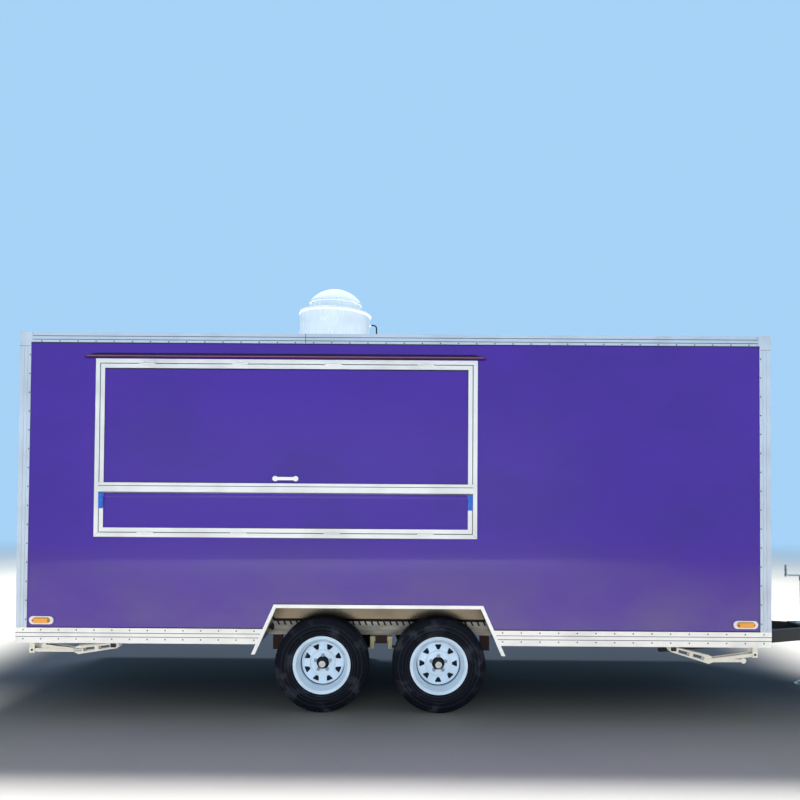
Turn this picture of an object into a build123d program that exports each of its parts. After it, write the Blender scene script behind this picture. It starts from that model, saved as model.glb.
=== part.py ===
from build123d import *
import os
from math import asin, cos, hypot, radians, sin, sqrt

os.makedirs("parts", exist_ok=True)

# A tandem-axle box food trailer with a serving hatch, a fold-down shelf, a roof fan and corner stabilisers.
# Millimetres. +X points to the tow end, -Y to the serving side, +Z up; the ground is z = 0.

# Box body
body_length = 5500.0
body_width = 2100.0
wall = 40.0
wall_bottom = 520.0
roof_thickness = 40.0
roof_top = 2780.0
floor_top = 675.0
floor_thickness = 45.0
tongue_reach = 1200.0
lamp_proud = 30.0

# Aluminium edge trim
trim_proud = 6.0
top_rail_height = 72.0
top_rail_inward = 60.0
rail_cover = 5.0
post_leg = 75.0
cap_across = 93.0
cap_down = 103.0
cap_proud = 8.0
rail_lip = 13.0
rail_grooves = [24.5, 50.0]
skirt_bottom = 510.0
skirt_height = 110.0
skirt_grooves = [34.0, 62.0]
groove_width = 5.0
groove_depth = 3.0
seat_gap = 0.3

# Serving hatch, its frame and the shelf below it
window_rear = 553.0
window_front = 3358.0
window_bottom = 1285.0
window_top = 2593.0
frame_face = 31.0
frame_lining = 4.0
leaf_gap = 6.0
leaf_thickness = 36.0
skin_inset = 4.0
panel_thickness = 26.0
bar_bottom = 1615.0
bar_height = 68.0
bar_proud = 12.0
bar_groove_below_top = 21.0
hinge_out = 12.0
hinge_pin_r = 3.0
hinge_knuckle_r = 5.5
hinge_fit = 0.05
hinge_stations = 4
hinge_knuckle = 40.0
hinge_web_back = 2.0
latch_width = 33.0
latch_height = 115.0
latch_edge = 4.0
latch_sheet = 6.0
latch_stud_r = 8.0
latch_studs_down = [22.0, 90.0]
handle_from_rear = 1955.0
handle_z = 1718.0
handle_length = 187.0
handle_bar = 23.0
handle_boss_r = 19.0
handle_bar_depth = 13.0
handle_proud = 32.0
handle_set_back = 3.0
drip_rear = 472.0
drip_front = 3418.0
drip_bottom = 2598.0
drip_height = 38.0
drip_proud = 26.0
drip_sheet = 4.0
drip_nose = 14.0
drip_heel = 12.0

# Gas struts of the hatch, from the hatch's hinge line: inboard and down
strut_inboard = 66.0
strut_anchor_down = 140.0
strut_eye_down = 740.0
strut_cylinder_r = 11.0
strut_rod_r = 5.0
strut_eye_r = 9.0
strut_pin_r = 4.0
strut_edge = 60.0
strut_fit = 0.05
strut_end_room = 40.0
strut_bracket = 5.0
strut_plate = 60.0
strut_eye_margin = 3.0
strut_play = 1.0
strut_open_deg = 95.0

# Wheel arches
arch_from_rear = 2641.0
arch_top = 800.0
arch_foot = 437.0
arch_half_top = 764.0
arch_half_foot = 926.0
arch_face = 25.0
arch_proud = 10.0
arch_sheet = 3.0

# Running gear
axle_mid_from_rear = 2655.0
axle_spacing = 864.0
tyre_r = 346.0
tyre_width = 215.0
tyre_outer_inset = 45.0
tyre_rail_gap = 50.0
rim_bead_r = 197.5
rim_flange_r = 213.0
rim_width = 178.0
rim_sheet = 7.0
rim_lip = 5.0
rim_well_depth = 26.0
disc_set_in = 100.0
disc_sheet = 9.0
window_count = 8
window_outer_r = 141.0
window_inner_r = 103.0
window_outer_half = 27.0
window_inner_half = 9.0
window_corner_r = 6.0
stud_circle_r = 57.0
stud_count = 5
nut_r = 12.0
nut_height = 22.0
cap_r = 33.0
cap_out = 66.0
hub_boss_r = 43.0
drum_r = 133.0
drum_depth = 68.0
spindle_r = 22.0
running_fit = 0.05
axle_beam = 60.0
backing_r = 127.0
backing_sheet = 5.0
drum_gap = 5.0
drum_sheet = 9.0

# Leaf springs and their linkage
spring_width = 50.0
spring_eye_span = 726.0
spring_eye_z = 440.0
spring_seat_z = 385.0
spring_eye_r = 17.0
spring_bolt_r = 7.0
leaf_sheet = 8.0
leaf_half_lengths = [363.0, 300.0, 225.0, 150.0]
leaf_camber = 26.0
equaliser_pivot_z = 486.0
equaliser_half = 69.0
rocker_end = 14.0
rocker_waist = 18.0
rocker_crown = 22.0
equaliser_end_z = 503.0
link_sheet = 6.0
link_half = 15.0
side_play = 1.0
bolt_head = 12.0
bolt_fit = 0.05
clamp_rod_r = 6.0
clamp_plate = 9.0
clamp_length = 104.0
clamp_rise = 4.0
clamp_tail = 8.0

# Chassis
rail_width = 50.0
rail_bottom = 530.0
member_width = 40.0
member_height = 50.0
member_count = 10
member_end_inset = 70.0
hanger_sheet = 7.0
hanger_length = 70.0
pivot_hanger_length = 90.0
hanger_below_eye = 25.0
hanger_below_pivot = 22.0
hanger_bolt_half = 38.0

# Drawbar, coupler and tongue jack, placed forwards of the body's front
beam_width = 50.0
beam_height = 100.0
beam_rear = -700.0
beam_tip = 1000.0
beam_rear_inset = 35.0
beam_tip_y = 38.0
tie_at = 20.0
tie_width = 60.0
tie_drop = 20.0
packer_at = 40.0
packer_length = 120.0
jack_plate_half = 70.0
deck_sheet = 8.0
jack_at = 780.0
jack_tube_r = 28.5
jack_bore_r = 24.05
jack_leg_r = 24.0
jack_tube_bottom = 330.0
jack_tube_top = 890.0
jack_leg_top = 560.0
jack_foot_r = 75.0
jack_foot_sheet = 6.0
crank_reach = 150.0
crank_r = 7.0
crank_boss = 20.0
crank_grip = 100.0
gearbox_r = 34.0
gearbox_height = 34.0
coupler_rear = 880.0
coupler_rear_height = 30.0
coupler_ramp = 60.0
coupler_shoulder = 50.0
coupler_width = 76.0
coupler_height = 62.0
ball_r = 25.4
ball_fit = 0.4
socket_wall = 14.0
socket_skirt = 16.0
ball_rise = 12.0
latch_back = 95.0
latch_length = 95.0
latch_thickness = 18.0
latch_depth = 30.0
chain_plate_at = 905.0
chain_hole_r = 9.0
chain_hole_y = 128.0
chain_plate_edge = 22.0

# Stabilisers, one below each corner
stab_inset = 150.0
stab_outboard_in = 62.0
stab_outboard_z = 434.0
stab_inner_z = 470.0
stab_lever = 305.0
stab_strut = 330.0
stab_toe = 246.0
stab_toe_lift_deg = 14.0
stab_cheek_y = 26.0
stab_cheek = 4.0
stab_bar = 4.0
stab_bar_y = 31.0
stab_bracket_y = 38.0
stab_bracket = 5.0
stab_bracket_half = 20.0
stab_pin_r = 7.0
stab_pin_head = 5.0
stab_screw_block = 14.0
stab_screw_block_height = 22.0
stab_below_pin = 20.0
stab_below_inner = 14.0
stab_eye_r = 16.0
stab_foot_r = 20.0
stab_screw_r = 8.0
stab_screw_z = 512.0
stab_ladder_height = 56.0
stab_foot_height = 24.0
stab_inner_r = 14.0
stab_web = 5.0
ladder_start_in = 44.0
ladder_end_in = 34.0
ladder_windows = 2
ladder_window = 84.0
ladder_window_half = 13.0
ladder_web_lift = 17.0
strap_thickness = 8.0

# Lamps, placed from each end of the body
marker_length = 178.0
marker_height = 58.0
marker_from_end = 185.0
marker_z = 675.0
marker_base = 14.0
lens_length = 132.0
lens_height = 42.0
lens_taper = 18.0
tail_lamp_inset = 170.0
tail_lamp_z = 785.0

# Entry door in the rear wall
door_from_far_side = 400.0
door_width = 760.0
door_bottom = 687.0
door_top = 2525.0
door_rail = 30.0
door_hinge_out = 13.0
door_hinges = 3
door_fixed_leaf = 14.0
door_moving_leaf = 22.0
lock_from_edge = 70.0
lock_up = 880.0
lock_plate = [8.0, 60.0, 180.0]
lever_proud = 22.0
lever_up = 40.0
lever_r = 12.0
lever_reach = 90.0
lever_thickness = 10.0
lever_height = 20.0

# Roof fan
fan_from_rear = 2201.0
fan_drum_r = 304.5
fan_bead_r = 317.0
fan_drum_height = 398.0
fan_bead_height = 26.0
cowl_r = 228.0
cowl_neck_height = 76.0
cowl_band = 14.0
cowl_crown = 118.0
cowl_neck_r = 218.0
crown_r = 222.0
crown_step = 8.0
fan_flange_r = 335.0
fan_flange = 10.0
fan_lean_deg = 2.4
cable_r = 6.0
gland_r = 11.0
gland_proud = 12.0
cable_drift = 6.0
cable_boot = 30.0
cable_exit_below_deck = 85.0
cable_reach = 58.0

# Places that follow from the sizes
rear = -(body_length + tongue_reach - lamp_proud) / 2
front = rear + body_length
side = body_width / 2
inner_side = side - wall
roof_bottom = roof_top - roof_thickness
floor_bottom = floor_top - floor_thickness
skirt_top = skirt_bottom + skirt_height
post_bottom = skirt_top
cap_bottom = roof_top + cap_proud - cap_down
rail_top = roof_top + rail_cover
rail_foot = rail_top - top_rail_height
cap_reach = cap_across - cap_proud
arch_x = rear + arch_from_rear
arch_slope = (arch_half_foot - arch_half_top) / (arch_top - arch_foot)
axle_mid = rear + axle_mid_from_rear
axle_places = {"rear": axle_mid - axle_spacing / 2, "front": axle_mid + axle_spacing / 2}
sides = {"serving": -1, "far": 1}
ends = {"rear": -1, "front": 1}
rail_outer = side - tyre_outer_inset - tyre_width - tyre_rail_gap
box_inner = rail_outer - arch_sheet
spring_y = rail_outer - rail_width / 2
beam_rear_y = rail_outer - beam_rear_inset
stab_y = side - stab_inset
tail_lamp_y = side - tail_lamp_inset
door_far = side - door_from_far_side
door_near = door_far - door_width
member_step = (body_length - 2 * member_end_inset) / (member_count - 1)
member_stations = [member_end_inset + index * member_step for index in range(member_count)]
fan_deck_z = fan_drum_height
cowl_bottom = fan_deck_z + cowl_neck_height
cowl_brim = cowl_bottom + cowl_band
cowl_top = cowl_brim + cowl_crown
cable_exit_up = fan_deck_z - cable_exit_below_deck
jack_x = front + jack_at
beam_top = skirt_bottom
beam_bottom = beam_top - beam_height
beam_slope = (beam_rear_y - beam_tip_y) / (beam_tip - beam_rear)
coupler_base = beam_top + deck_sheet
ball_x = front + tongue_reach - ball_r - ball_fit - socket_wall
ball_z = coupler_base + ball_rise
coupler_top = coupler_base + coupler_height


def block(x_span, y_span, z_span, mode=Mode.ADD):
    """Fill the box between three spans; a span may be given either way round."""
    lows = [min(span) for span in (x_span, y_span, z_span)]
    sizes = [abs(span[1] - span[0]) for span in (x_span, y_span, z_span)]
    with Locations(tuple(lows)):
        Box(*sizes, align=(Align.MIN, Align.MIN, Align.MIN), mode=mode)


def prism(points, plane, depth, mode=Mode.ADD):
    """Extrude a closed outline drawn on a plane."""
    with BuildSketch(plane) as outline:
        with BuildLine():
            Polyline(*points, close=True)
        make_face()
    extrude(outline.sketch, amount=depth, mode=mode)


def rod(start, end, radius, mode=Mode.ADD):
    """Add a round bar between two points."""
    run = Vector(*end) - Vector(*start)
    with BuildSketch(Plane(origin=start, z_dir=run)) as section:
        Circle(radius)
    extrude(section.sketch, amount=run.length, mode=mode)


def side_plane(y):
    """Upright plane at y that faces the serving side: its x is X and its y is Z."""
    return Plane(origin=(0, y, 0), x_dir=(1, 0, 0), z_dir=(0, -1, 0))


def across_plane(x):
    """Upright plane at x that faces the tow end: its x is Y and its y is Z."""
    return Plane(origin=(x, 0, 0), x_dir=(0, 1, 0), z_dir=(1, 0, 0))


def save(builder, label):
    """Name a finished piece and write it."""
    builder.part.label = label
    export_step(builder.part, f"parts/{label}.step")


def arch_outline(inset, foot):
    """Trapezoid of the wheel arch, moved inwards by inset and cut off at foot."""
    top = arch_top - inset
    spread = inset * hypot(1, arch_slope)
    half_top = arch_half_top + inset * arch_slope - spread
    half_foot = arch_half_top + (arch_top - foot) * arch_slope - spread
    return [
        (arch_x - half_foot, foot),
        (arch_x - half_top, top),
        (arch_x + half_top, top),
        (arch_x + half_foot, foot),
    ]


def arch_prism(inset, foot, start, end, mode=Mode.ADD):
    """Extrude the arch outline from start to end across the trailer."""
    prism(arch_outline(inset, foot), side_plane(start), start - end, mode=mode)


# Serving hatch places
window_x = (rear + window_rear, rear + window_front)
opening_x = (window_x[0] + frame_face, window_x[1] - frame_face)
opening_z = (window_bottom + frame_face, window_top - frame_face)
leaf_x = (opening_x[0] + leaf_gap, opening_x[1] - leaf_gap)
frame_out = side + trim_proud
hatch_z = (bar_bottom, opening_z[1] - leaf_gap)
flap_z = (opening_z[0] + leaf_gap, bar_bottom - leaf_gap)
hatch_hinge = (-(side + hinge_out), opening_z[1] - leaf_gap / 2)
flap_hinge = (-(side + hinge_out), opening_z[0] + leaf_gap / 2)
lining_cut = frame_lining + seat_gap
leaf_y = (-frame_out, -frame_out + leaf_thickness)
panel_y = (-frame_out + skin_inset, -frame_out + skin_inset + panel_thickness)
bar_top = bar_bottom + bar_height
bar_y = -(frame_out + bar_proud)
strut_x = [leaf_x[0] + strut_edge, leaf_x[1] - strut_edge]
strut_y = hatch_hinge[0] + strut_inboard
eye_z = hatch_hinge[1] - strut_eye_down
anchor_z = hatch_hinge[1] - strut_anchor_down
bracket_half = strut_eye_r + strut_eye_margin
strut_pin_half = strut_eye_r + strut_eye_margin

# Floor, roof and walls
with BuildPart() as floor_panel:
    block((rear + wall, front - wall), (-inner_side, inner_side), (floor_bottom, floor_top))
    for sign in sides.values():
        arch_prism(
            arch_face - arch_sheet - seat_gap,
            floor_bottom,
            sign * inner_side,
            sign * (box_inner - seat_gap),
            Mode.SUBTRACT,
        )
save(floor_panel, "floor_panel")

with BuildPart() as roof_panel:
    block((rear, front), (-side, side), (roof_bottom, roof_top))
save(roof_panel, "roof_panel")

wall_cut = arch_face - arch_sheet - seat_gap
with BuildPart() as serving_wall:
    block((rear, front), (-side, -inner_side), (wall_bottom, roof_bottom))
    arch_prism(wall_cut, wall_bottom, -side, -inner_side, Mode.SUBTRACT)
    block(
        (opening_x[0] - lining_cut, opening_x[1] + lining_cut),
        (-side, -inner_side),
        (opening_z[0] - lining_cut, opening_z[1] + lining_cut),
        Mode.SUBTRACT,
    )
save(serving_wall, "serving_wall")

with BuildPart() as far_wall:
    block((rear, front), (inner_side, side), (wall_bottom, roof_bottom))
    arch_prism(wall_cut, wall_bottom, side, inner_side, Mode.SUBTRACT)
save(far_wall, "far_wall")

with BuildPart() as front_wall:
    block((front - wall, front), (-inner_side, inner_side), (wall_bottom, roof_bottom))
save(front_wall, "front_wall")

doorway_y = (door_near - lining_cut, door_far + lining_cut)
doorway_z = (door_bottom - lining_cut, door_top + lining_cut)
with BuildPart() as rear_wall:
    block((rear, rear + wall), (-inner_side, inner_side), (wall_bottom, roof_bottom))
    block((rear, rear + wall), doorway_y, doorway_z, Mode.SUBTRACT)
save(rear_wall, "rear_wall")

# Wheel boxes: a folded sheet over each pair of wheels
with BuildPart() as wheel_boxes:
    for sign in sides.values():
        arch_prism(arch_face - arch_sheet, wall_bottom, sign * inner_side, sign * box_inner)
        arch_prism(arch_face, wall_bottom, sign * inner_side, sign * (box_inner + arch_sheet), Mode.SUBTRACT)
        block(
            (arch_x - arch_half_foot, arch_x + arch_half_foot),
            (sign * box_inner, sign * rail_outer),
            (wall_bottom, floor_bottom),
            Mode.SUBTRACT,
        )
save(wheel_boxes, "wheel_boxes")

# Wheel arch trims: an outer face and a lining through the wall
with BuildPart() as arch_trims:
    for sign in sides.values():
        arch_prism(0, arch_foot, sign * side, sign * (side + arch_proud))
        arch_prism(arch_face - arch_sheet, arch_foot, sign * inner_side, sign * side)
        arch_prism(arch_face, arch_foot, sign * inner_side, sign * (side + arch_proud), Mode.SUBTRACT)
save(arch_trims, "arch_trims")

# Edge strips run round the body: name, outward direction, start corner, length
body_sides = [
    ("serving", (0, -1, 0), (front, -side), body_length),
    ("rear", (-1, 0, 0), (rear, -side), body_width),
    ("far", (0, 1, 0), (rear, side), body_length),
    ("front", (1, 0, 0), (front, side), body_width),
]


def strip_plane(outward, corner, skip):
    """Section plane of an edge strip that starts skip past a body corner: x is outwards, y is up."""
    run = Vector(*outward).cross(Vector(0, 0, 1))
    origin = Vector(corner[0], corner[1], 0) + run * skip
    return Plane(origin=origin, x_dir=outward, z_dir=run)


def grooved_face(top, bottom, proud, groove_tops):
    """Points down the outer face of a strip, with square grooves that start at the given heights."""
    points = [(proud, top)]
    for groove_top in groove_tops:
        points += [
            (proud, groove_top),
            (proud - groove_depth, groove_top),
            (proud - groove_depth, groove_top - groove_width),
            (proud, groove_top - groove_width),
        ]
    return points + [(proud, bottom)]


with BuildPart() as skirt_rails:
    groove_tops = [skirt_top - drop for drop in skirt_grooves]
    face = grooved_face(skirt_top, skirt_bottom, trim_proud, groove_tops)
    section = [(0, skirt_top)] + face + [(0, skirt_bottom)]
    for name, outward, corner, length in body_sides:
        overlap = trim_proud if name in sides else -seat_gap
        prism(section, strip_plane(outward, corner, -overlap), length + 2 * overlap)
    for sign in sides.values():
        arch_prism(-seat_gap, skirt_bottom, sign * side, sign * (side + trim_proud), Mode.SUBTRACT)
save(skirt_rails, "skirt_rails")

with BuildPart() as top_rails:
    groove_tops = [rail_top - drop for drop in rail_grooves]
    section = (
        [(-top_rail_inward, roof_top), (-top_rail_inward, rail_top)]
        + grooved_face(rail_top, rail_foot + rail_lip, trim_proud, groove_tops)
        + [(trim_proud / 2, rail_foot + rail_lip), (trim_proud / 2, rail_foot), (0, rail_foot), (0, roof_top)]
    )
    for name, outward, corner, length in body_sides:
        prism(section, strip_plane(outward, corner, cap_reach), length - 2 * cap_reach)
save(top_rails, "top_rails")


def post_section(corner_x, corner_y, in_x, in_y):
    """Angle section round a body corner; in_x and in_y give the way along each leg."""
    grooves = [post_leg / 3, 2 * post_leg / 3]
    leg = [(post_leg, -trim_proud)]
    for place in reversed(grooves):
        leg += [
            (place + groove_width, -trim_proud),
            (place + groove_width, -trim_proud + groove_depth),
            (place, -trim_proud + groove_depth),
            (place, -trim_proud),
        ]
    outline = leg + [(-trim_proud, -trim_proud)] + [(v, u) for u, v in reversed(leg)]
    outline += [(0, post_leg), (0, 0), (post_leg, 0)]
    return [(corner_x + in_x * u, corner_y + in_y * v) for u, v in outline]


with BuildPart() as corner_posts:
    for end in ends.values():
        for sign in sides.values():
            corner_x = front if end > 0 else rear
            corner_y = sign * side
            prism(
                post_section(corner_x, corner_y, -end, -sign),
                Plane.XY.offset(post_bottom),
                cap_bottom - post_bottom,
            )
            block(
                (corner_x + end * cap_proud, corner_x - end * cap_reach),
                (corner_y + sign * cap_proud, corner_y - sign * cap_reach),
                (cap_bottom, roof_top + cap_proud),
            )
            inner_x = (corner_x - end * post_leg, corner_x - end * cap_across)
            inner_y = (corner_y - sign * post_leg, corner_y - sign * cap_across)
            whole_x = (corner_x + end * cap_proud, inner_x[1])
            whole_y = (corner_y + sign * cap_proud, inner_y[1])
            block(inner_x, whole_y, (cap_bottom, rail_foot), Mode.SUBTRACT)
            block(whole_x, inner_y, (cap_bottom, rail_foot), Mode.SUBTRACT)
    block((rear, front), (-side, side), (wall_bottom, roof_top), Mode.SUBTRACT)
save(corner_posts, "corner_posts")


def ring(x_span, z_span, face, y_span):
    """Add a rectangular ring that stands across the trailer's side."""
    block(x_span, y_span, z_span)
    block((x_span[0] + face, x_span[1] - face), y_span, (z_span[0] + face, z_span[1] - face), Mode.SUBTRACT)


def spread(span, count):
    """Centres of count equal shares of a span."""
    step = (span[1] - span[0]) / count
    return [span[0] + step * (index + 0.5) for index in range(count)]


# Window frame with the fixed halves of both hinges
with BuildPart() as window_frame:
    ring(window_x, (window_bottom, window_top), frame_face, (-frame_out, -side))
    lining_x = (opening_x[0] - frame_lining, opening_x[1] + frame_lining)
    lining_z = (opening_z[0] - frame_lining, opening_z[1] + frame_lining)
    block(lining_x, (-side, -inner_side), lining_z)
    block(opening_x, (-side, -inner_side), opening_z, Mode.SUBTRACT)
    for hinge, way in ((hatch_hinge, 1), (flap_hinge, -1)):
        hinge_y, hinge_z = hinge
        web_z = (hinge_z, hinge_z + way * 3 * hinge_knuckle_r)
        for x in spread(leaf_x, hinge_stations):
            pin_half = 1.5 * hinge_knuckle
            rod((x - pin_half, hinge_y, hinge_z), (x + pin_half, hinge_y, hinge_z), hinge_pin_r)
            for shift in (-1, 1):
                start = x + shift * (hinge_knuckle / 2 + seat_gap)
                end = x + shift * 1.5 * hinge_knuckle
                rod((start, hinge_y, hinge_z), (end, hinge_y, hinge_z), hinge_knuckle_r)
                block((start, end), (hinge_y - hinge_web_back, -frame_out), web_z)
    for x in strut_x:
        for shift in (-1, 1):
            inside = x + shift * (strut_eye_r + strut_play)
            block(
                (inside, inside + shift * strut_bracket),
                (strut_y - bracket_half, strut_y + bracket_half),
                (anchor_z - bracket_half, opening_z[1] + strut_plate),
            )
        rod((x - strut_pin_half, strut_y, anchor_z), (x + strut_pin_half, strut_y, anchor_z), strut_pin_r)
        block(
            (x - strut_eye_r - strut_play - strut_bracket, x + strut_eye_r + strut_play + strut_bracket),
            (-inner_side, strut_y + bracket_half),
            (opening_z[1], opening_z[1] + strut_plate),
        )
save(window_frame, "window_frame")

with BuildPart() as drip_rail:
    drip_top = drip_bottom + drip_height
    section = [
        (0, drip_top),
        (drip_sheet, drip_top),
        (drip_proud, drip_bottom + drip_nose),
        (drip_proud, drip_bottom),
        (drip_proud - drip_sheet, drip_bottom),
        (drip_proud - drip_sheet, drip_bottom + drip_nose - drip_sheet),
        (drip_sheet, drip_top - drip_heel),
        (drip_sheet, drip_bottom + drip_sheet),
        (0, drip_bottom + drip_sheet),
    ]
    prism(section, strip_plane((0, -1, 0), (rear + drip_front, -side), 0), drip_front - drip_rear)
    for x, way in ((rear + drip_rear, 1), (rear + drip_front, -1)):
        taper = [(x, drip_top), (x + way * 2 * drip_height, drip_top), (x, drip_bottom + drip_sheet)]
        prism(taper, side_plane(-side), drip_proud, Mode.SUBTRACT)
save(drip_rail, "drip_rail")


def leaf_hinge(hinge, way):
    """Add the moving knuckles of a leaf; way is -1 where the leaf hangs below its hinge."""
    hinge_y, hinge_z = hinge
    for x in spread(leaf_x, hinge_stations):
        half = hinge_knuckle / 2
        rod((x - half, hinge_y, hinge_z), (x + half, hinge_y, hinge_z), hinge_knuckle_r)
        web_z = (hinge_z, hinge_z + way * 3 * hinge_knuckle_r)
        block((x - half, x + half), (hinge_y - hinge_web_back, -frame_out), web_z)
        bore = [(x - half, hinge_y, hinge_z), (x + half, hinge_y, hinge_z)]
        rod(*bore, hinge_pin_r + hinge_fit, Mode.SUBTRACT)


# Hatch: frame with the deep bottom bar, skin panel and pull handle
with BuildPart() as hatch_frame:
    ring(leaf_x, hatch_z, frame_face, leaf_y)
    block(leaf_x, (leaf_y[1], -frame_out), (bar_bottom, bar_top))
    bar_x = (opening_x[0] + seat_gap, opening_x[1] - seat_gap)
    block(leaf_x, (bar_y, -frame_out), (bar_bottom, bar_top))
    block(bar_x, (bar_y, bar_y + leaf_gap), (bar_bottom, bar_top))
    groove_top = bar_top - bar_groove_below_top
    block(bar_x, (bar_y, bar_y + groove_depth), (groove_top - groove_width, groove_top), Mode.SUBTRACT)
    leaf_hinge(hatch_hinge, -1)
save(hatch_frame, "hatch_frame")

with BuildPart() as hatch_panel:
    block(
        (leaf_x[0] + frame_face, leaf_x[1] - frame_face),
        panel_y,
        (bar_top, hatch_z[1] - frame_face),
    )
    for x in strut_x:
        for shift in (-1, 1):
            inside = x + shift * (strut_eye_r + strut_play)
            block(
                (inside, inside + shift * strut_bracket),
                (panel_y[1], strut_y + bracket_half),
                (eye_z - bracket_half, eye_z + bracket_half),
            )
        rod((x - strut_pin_half, strut_y, eye_z), (x + strut_pin_half, strut_y, eye_z), strut_pin_r)
save(hatch_panel, "hatch_panel")

with BuildPart() as hatch_handle:
    handle_x = rear + handle_from_rear
    handle_y = -(side + handle_proud)
    boss_shift = handle_length / 2 - handle_boss_r
    for shift in (-1, 1):
        x = handle_x + shift * boss_shift
        rod((x, panel_y[0], handle_z), (x, handle_y + handle_set_back, handle_z), handle_boss_r)
    block(
        (handle_x - boss_shift, handle_x + boss_shift),
        (handle_y, handle_y + handle_bar_depth),
        (handle_z - handle_bar / 2, handle_z + handle_bar / 2),
    )
save(hatch_handle, "hatch_handle")

# Shelf flap below the hatch
with BuildPart() as flap_frame:
    ring(leaf_x, flap_z, frame_face, leaf_y)
    leaf_hinge(flap_hinge, 1)
save(flap_frame, "flap_frame")

with BuildPart() as flap_panel:
    block(
        (leaf_x[0] + frame_face, leaf_x[1] - frame_face),
        panel_y,
        (flap_z[0] + frame_face, flap_z[1] - frame_face),
    )
save(flap_panel, "flap_panel")

with BuildPart() as flap_latches:
    latch_top = flap_z[1] - side_play
    for x in (opening_x[0] + latch_edge, opening_x[1] - latch_edge - latch_width):
        block((x, x + latch_width), (bar_y, bar_y + latch_sheet), (latch_top - latch_height, latch_top))
        middle = x + latch_width / 2
        for drop in latch_studs_down:
            stud_z = latch_top - drop
            rod((middle, -frame_out, stud_z), (middle, bar_y + latch_sheet / 2, stud_z), latch_stud_r)
save(flap_latches, "flap_latches")

# Gas struts: the cylinders turn on frame brackets and the rods slide out of them
strut_closed = strut_eye_down - strut_anchor_down
open_angle = radians(strut_open_deg)
open_eye = (
    cos(open_angle) * strut_inboard - sin(open_angle) * strut_eye_down,
    -sin(open_angle) * strut_inboard - cos(open_angle) * strut_eye_down,
)
strut_open = hypot(open_eye[0] - strut_inboard, open_eye[1] + strut_anchor_down)
cylinder_bottom = anchor_z - strut_closed + strut_end_room
with BuildPart() as strut_cylinders:
    for x in strut_x:
        rod((x, strut_y, anchor_z), (x, strut_y, anchor_z - 2 * bracket_half), strut_rod_r + strut_eye_margin)
        rod((x, strut_y, anchor_z - 2 * bracket_half), (x, strut_y, cylinder_bottom), strut_cylinder_r)
        rod((x - strut_eye_r, strut_y, anchor_z), (x + strut_eye_r, strut_y, anchor_z), bracket_half)
        bore = [(eye_x, strut_y, anchor_z) for eye_x in (x - strut_eye_r, x + strut_eye_r)]
        rod(*bore, strut_pin_r + strut_fit, Mode.SUBTRACT)
        rod(
            (x, strut_y, cylinder_bottom),
            (x, strut_y, anchor_z - 3 * bracket_half),
            strut_rod_r + strut_fit,
            Mode.SUBTRACT,
        )
save(strut_cylinders, "strut_cylinders")

with BuildPart() as strut_rods:
    for x in strut_x:
        rod((x, strut_y, eye_z), (x, strut_y, anchor_z - 4 * bracket_half), strut_rod_r)
        rod((x - strut_eye_r, strut_y, eye_z), (x + strut_eye_r, strut_y, eye_z), strut_eye_r)
        bore = [(eye_x, strut_y, eye_z) for eye_x in (x - strut_eye_r, x + strut_eye_r)]
        rod(*bore, strut_pin_r + strut_fit, Mode.SUBTRACT)
save(strut_rods, "strut_rods")

# Entry door at the rear, its surround and its hinges
surround_y = (door_near - frame_face, door_far + frame_face)
surround_z = (door_bottom - frame_face, door_top + frame_face)
door_y = (door_near + leaf_gap, door_far - leaf_gap)
door_z = (door_bottom + leaf_gap, door_top - leaf_gap)
door_x = (rear - trim_proud, rear - trim_proud + leaf_thickness)
hinge_line = (rear - door_hinge_out, door_far - leaf_gap / 2)
hinge_heights = spread(door_z, door_hinges)
with BuildPart() as door_surround:
    block((rear - trim_proud, rear), surround_y, surround_z)
    block(
        (rear, rear + wall),
        (door_near - frame_lining, door_far + frame_lining),
        (door_bottom - frame_lining, door_top + frame_lining),
    )
    block((rear - trim_proud, rear + wall), (door_near, door_far), (door_bottom, door_top), Mode.SUBTRACT)
    for z in hinge_heights:
        rod((*hinge_line, z - 1.5 * hinge_knuckle), (*hinge_line, z + 1.5 * hinge_knuckle), hinge_pin_r)
        for shift in (-1, 1):
            start = z + shift * (hinge_knuckle / 2 + seat_gap)
            end = z + shift * 1.5 * hinge_knuckle
            rod((*hinge_line, start), (*hinge_line, end), hinge_knuckle_r)
            leaf_x_span = (hinge_line[0] - hinge_web_back, rear - trim_proud)
            block(leaf_x_span, (hinge_line[1], door_far + door_fixed_leaf), (start, end))
save(door_surround, "door_surround")

with BuildPart() as door_frame:
    block(door_x, door_y, door_z)
    block(
        door_x,
        (door_y[0] + door_rail, door_y[1] - door_rail),
        (door_z[0] + door_rail, door_z[1] - door_rail),
        Mode.SUBTRACT,
    )
    for z in hinge_heights:
        half = hinge_knuckle / 2
        rod((*hinge_line, z - half), (*hinge_line, z + half), hinge_knuckle_r)
        leaf_x_span = (hinge_line[0] - hinge_web_back, rear - trim_proud)
        block(leaf_x_span, (hinge_line[1], door_far - door_moving_leaf), (z - half, z + half))
        rod((*hinge_line, z - half), (*hinge_line, z + half), hinge_pin_r + hinge_fit, Mode.SUBTRACT)
save(door_frame, "door_frame")

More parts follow.
